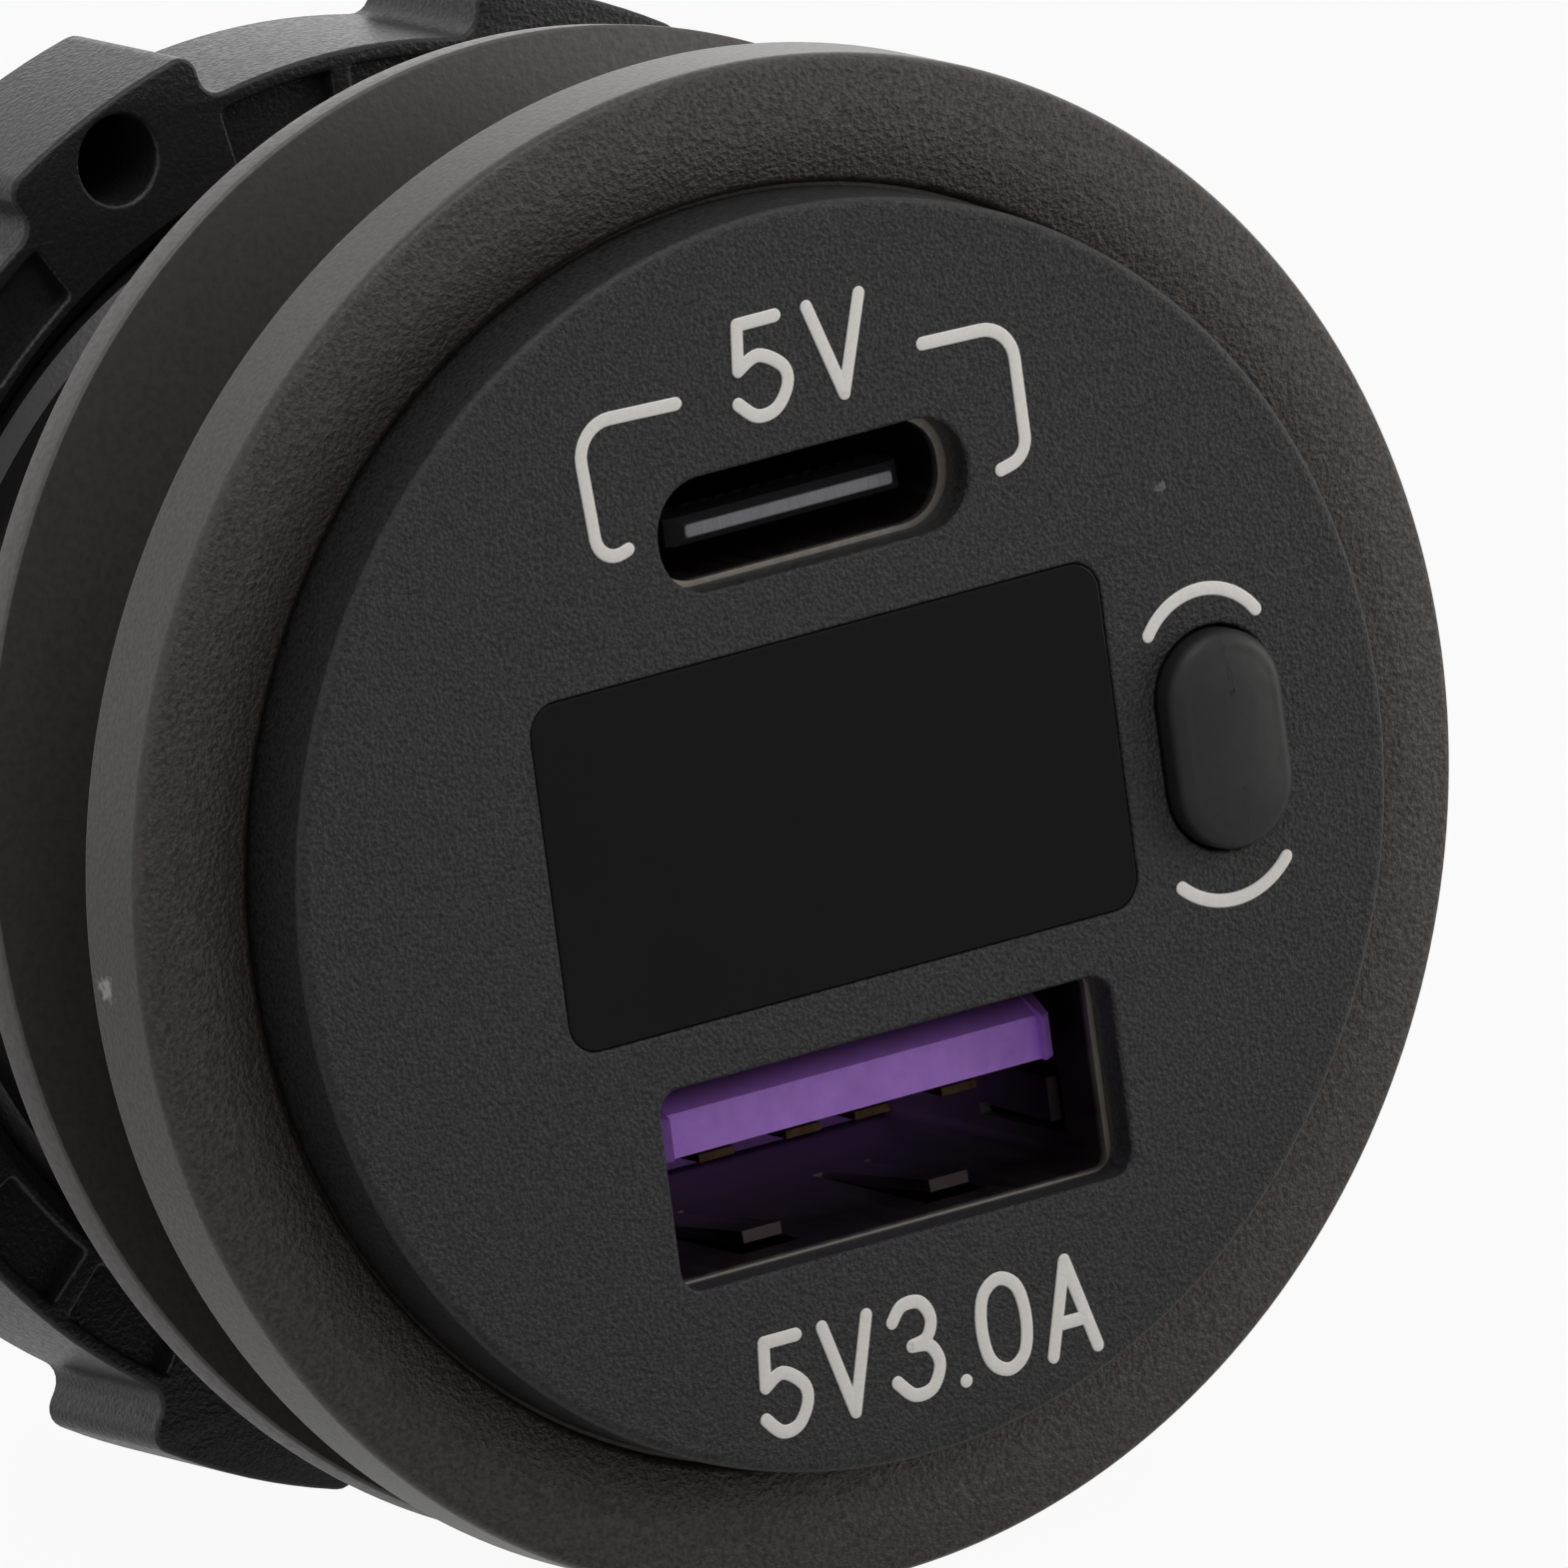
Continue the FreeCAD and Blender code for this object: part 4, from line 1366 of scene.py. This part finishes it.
@dataclass
class RearEnd:
    """Rear cap with its blade terminals and moulded polarity marks, in millimetres."""

    face: float = 36.0
    mark_x: float = 4.5
    mark_z: float = 6.9
    arm: float = 1.9
    bar: float = 0.55
    relief: float = 0.25
    sunk: float = 0.05
    draft_taper: float = 0.06
    mark_edge: float = 0.06

    def bar_at(self, draft: MeshDraft, x: float, z: float, width: float, height: float) -> None:
        """Add one raised bar with drafted sides to the cap.

        Args:
            draft: Mesh that takes the bar.
            x: Bar's middle across.
            z: Bar's middle up.
            width: Size across.
            height: Size up.
        """
        loops = []
        for y, grow in ((self.face - self.sunk, self.draft_taper),
                        (self.face + self.relief, 0.0)):
            half_w, half_h = width / 2 + grow, height / 2 + grow
            loops.append(draft.ring([(x + sx * half_w, y, z + sz * half_h)
                                     for sx, sz in ((1, -1), (1, 1), (-1, 1), (-1, -1))]))
        draft.bridge(loops[0], loops[1])
        draft.faces.extend((tuple(loops[0]), tuple(loops[1])))

    def build(self) -> list[bpy.types.Object]:
        """Dress the cap and blades, and add the marks.

        Returns:
            The cap, the blades and both marks.
        """
        pieces = [dress("rear_cap", HOUSING_ABS), dress("terminal_positive", TINNED_BRASS),
                  dress("terminal_negative", TINNED_BRASS)]
        plus, minus = MeshDraft(), MeshDraft()
        side = (self.arm - self.bar) / 2
        self.bar_at(plus, self.mark_x, self.mark_z, self.bar, self.arm)
        for way in (-1, 1):
            middle = self.mark_x + way * (self.bar + side) / 2
            self.bar_at(plus, middle, self.mark_z, side, self.bar)
        self.bar_at(minus, -self.mark_x, self.mark_z, self.arm, self.bar)
        for name, draft in (("plus_mark", plus), ("minus_mark", minus)):
            piece = draft.make(name, HOUSING_ABS, Body.CHARGER, self.mark_edge)
            pieces.append(piece)
        return pieces


# Studio


@dataclass(frozen=True)
class PhotoCamera:
    """Camera at the photograph's viewing angle, in degrees, millimetres and pixels."""

    azimuth: float = -30.79
    elevation: float = 12.81
    roll: float = -7.59
    distance_mm: float = 1442.65
    target_mm: Point = (1.17, 0.0, 0.45)
    focal_px: float = 59743.0
    frame_px: float = 1569.0
    sensor_mm: float = 36.0
    clip_mm: Flat = (50.0, 20000.0)

    def build(self) -> None:
        """Place the camera and make it the scene's own."""
        az, el, roll = (math.radians(v) for v in (self.azimuth, self.elevation, self.roll))
        away = Vector((math.sin(az) * math.cos(el), -math.cos(az) * math.cos(el), math.sin(el)))
        right = (-away).cross(Vector((0, 0, 1))).normalized()
        up = right.cross(-away)
        right, up = (right * math.cos(roll) + up * math.sin(roll),
                     up * math.cos(roll) - right * math.sin(roll))
        lens = bpy.data.cameras.new("photo_camera")
        lens.sensor_width = self.sensor_mm
        lens.lens = self.focal_px / self.frame_px * self.sensor_mm
        lens.clip_start, lens.clip_end = (reach * MM for reach in self.clip_mm)
        camera = bpy.data.objects.new("photo_camera", lens)
        spot = (Vector(self.target_mm) + away * self.distance_mm) * MM
        facing = Matrix((right, up, away)).transposed().to_4x4()
        camera.matrix_world = Matrix.Translation(spot) @ facing
        bpy.context.scene.collection.objects.link(camera)
        bpy.context.scene.camera = camera


@dataclass(frozen=True)
class SoftLight:
    """A square soft box aimed at the object, in metres and watts."""

    name: str
    spot: Point
    side: float
    watts: float
    colour: str = "#ffffff"

    def build(self) -> None:
        """Hang the light."""
        lamp = bpy.data.lights.new(self.name, "AREA")
        lamp.shape, lamp.size, lamp.energy = "SQUARE", self.side, self.watts
        lamp.color = linear(self.colour)[:3]
        holder = bpy.data.objects.new(self.name, lamp)
        holder.location = self.spot
        holder.visible_camera = False
        holder.rotation_euler = (-Vector(self.spot)).to_track_quat("-Z", "Y").to_euler()
        bpy.context.scene.collection.objects.link(holder)


@dataclass
class Studio:
    """Pale floor, soft light and white surroundings.

    Attributes:
        floor_colour: Hex colour of the paper on the floor.
        floor_roughness: Its roughness.
        floor_side: Length of its side, in metres.
        shadow_share: How much of the floor's own shading the camera sees, the rest being white.
        mirrored_shade: How much of it reflections see.
        fill: Strength of the surroundings as a light, where the camera sees 1.
        lights: The soft boxes.
    """

    floor_colour: str = "#b4b4b4"
    floor_roughness: float = 0.9
    floor_side: float = 4.0
    shadow_share: float = 0.06
    mirrored_shade: float = 0.45
    fill: float = 0.42
    lights: tuple[SoftLight, ...] = (
        SoftLight("back_right_box", (0.455, 0.764, 0.137), 0.4, 0.25),
        SoftLight("high_right_box", (0.402, 0.67, 0.447), 0.4, 0.1),
        SoftLight("high_back_box", (-0.134, 0.534, 0.712), 0.4, 0.39),
        SoftLight("near_top_strip", (0.0, -0.034, 0.083), 0.05, 0.017),
        SoftLight("near_right_strip", (0.081, -0.038, 0.009), 0.05, 0.0195, "#fff9f2"),
    )

    @staticmethod
    def seen(tree: bpy.types.NodeTree, path: bpy.types.Node) -> bpy.types.NodeSocket:
        """Tell the rays that look at the white from the rays that light the object.

        Args:
            tree: Node tree of the floor or the surroundings.
            path: Its light path node.

        Returns:
            1 where the camera, a reflection or clear plastic looks, and 0 elsewhere.
        """
        looked = path.outputs["Is Camera Ray"]
        for ray in ("Is Glossy Ray", "Is Transmission Ray"):
            looked = add_node(tree, "ShaderNodeMath", {0: looked, 1: path.outputs[ray]},
                              operation="MAXIMUM").outputs[0]
        return looked

    def floor_paper(self) -> bpy.types.Material:
        """Make the floor's paper, which is white to the eye and keeps the object's shadow.

        Returns:
            The material.
        """
        material = bpy.data.materials.new("matt_white_paper")
        material.use_nodes = True
        tree = material.node_tree
        shader = tree.nodes["Principled BSDF"]
        shader.inputs["Base Color"].default_value = linear(self.floor_colour)
        shader.inputs["Roughness"].default_value = self.floor_roughness
        glow = add_node(tree, "ShaderNodeEmission", {"Strength": 1.0})
        path = add_node(tree, "ShaderNodeLightPath", {})
        white = add_node(tree, "ShaderNodeMix",
                         {0: path.outputs["Is Camera Ray"], 2: 1 - self.mirrored_shade,
                          3: 1 - self.shadow_share})
        share = add_node(tree, "ShaderNodeMath",
                         {0: self.seen(tree, path), 1: white.outputs[0]}, operation="MULTIPLY")
        mixed = add_node(tree, "ShaderNodeMixShader", {0: share.outputs[0], 1: shader.outputs[0],
                                                       2: glow.outputs[0]})
        tree.links.new(mixed.outputs[0], tree.nodes["Material Output"].inputs["Surface"])
        return material

    def lay_floor(self, height: float) -> None:
        """Lay the floor under the object.

        Args:
            height: The floor's Z, in metres.
        """
        half = self.floor_side / 2
        mesh = bpy.data.meshes.new("studio_floor")
        mesh.from_pydata([(-half, -half, height), (half, -half, height), (half, half, height),
                          (-half, half, height)], [], [(0, 1, 2, 3)])
        mesh.materials.append(self.floor_paper())
        floor = bpy.data.objects.new("studio_floor", mesh)
        bpy.context.scene.collection.objects.link(floor)

    def fill_surroundings(self) -> None:
        """Surround the object with a white tent, which lights it less than the camera sees."""
        world = bpy.data.worlds.new("white_tent")
        world.use_nodes = True
        tree = world.node_tree
        path = add_node(tree, "ShaderNodeLightPath", {})
        strength = add_node(tree, "ShaderNodeMix",
                            {0: self.seen(tree, path), 2: self.fill, 3: 1.0})
        tree.links.new(strength.outputs[0], tree.nodes["Background"].inputs["Strength"])
        tree.nodes["Background"].inputs["Color"].default_value = linear("#ffffff")
        bpy.context.scene.world = world

    def build(self) -> None:
        """Set up floor, surroundings, lights and camera."""
        self.lay_floor(cad_bounds[0][2])
        self.fill_surroundings()
        for light in self.lights:
            light.build()
        PhotoCamera().build()
        bpy.context.scene.view_settings.view_transform = "Standard"


def main() -> None:
    """Build every sub-assembly, report its pieces, and set up the studio round them."""
    logging.basicConfig(level=logging.INFO, format="%(message)s")
    for assembly in (ThreadedHousing(), FacePlate(), PowerButton(), PrintedMarks(),
                     SealingWasher(), RingNut(), Controls(), Ports(), Electronics(), RearEnd()):
        for piece in assembly.build():
            LOG.info("%s: %s, %d points", type(assembly).__name__, piece.name,
                     len(piece.data.vertices))
    studio = Studio()
    studio.build()
    LOG.info("Studio: floor, camera and %d lights", len(studio.lights))


if __name__ == "__main__":
    main()
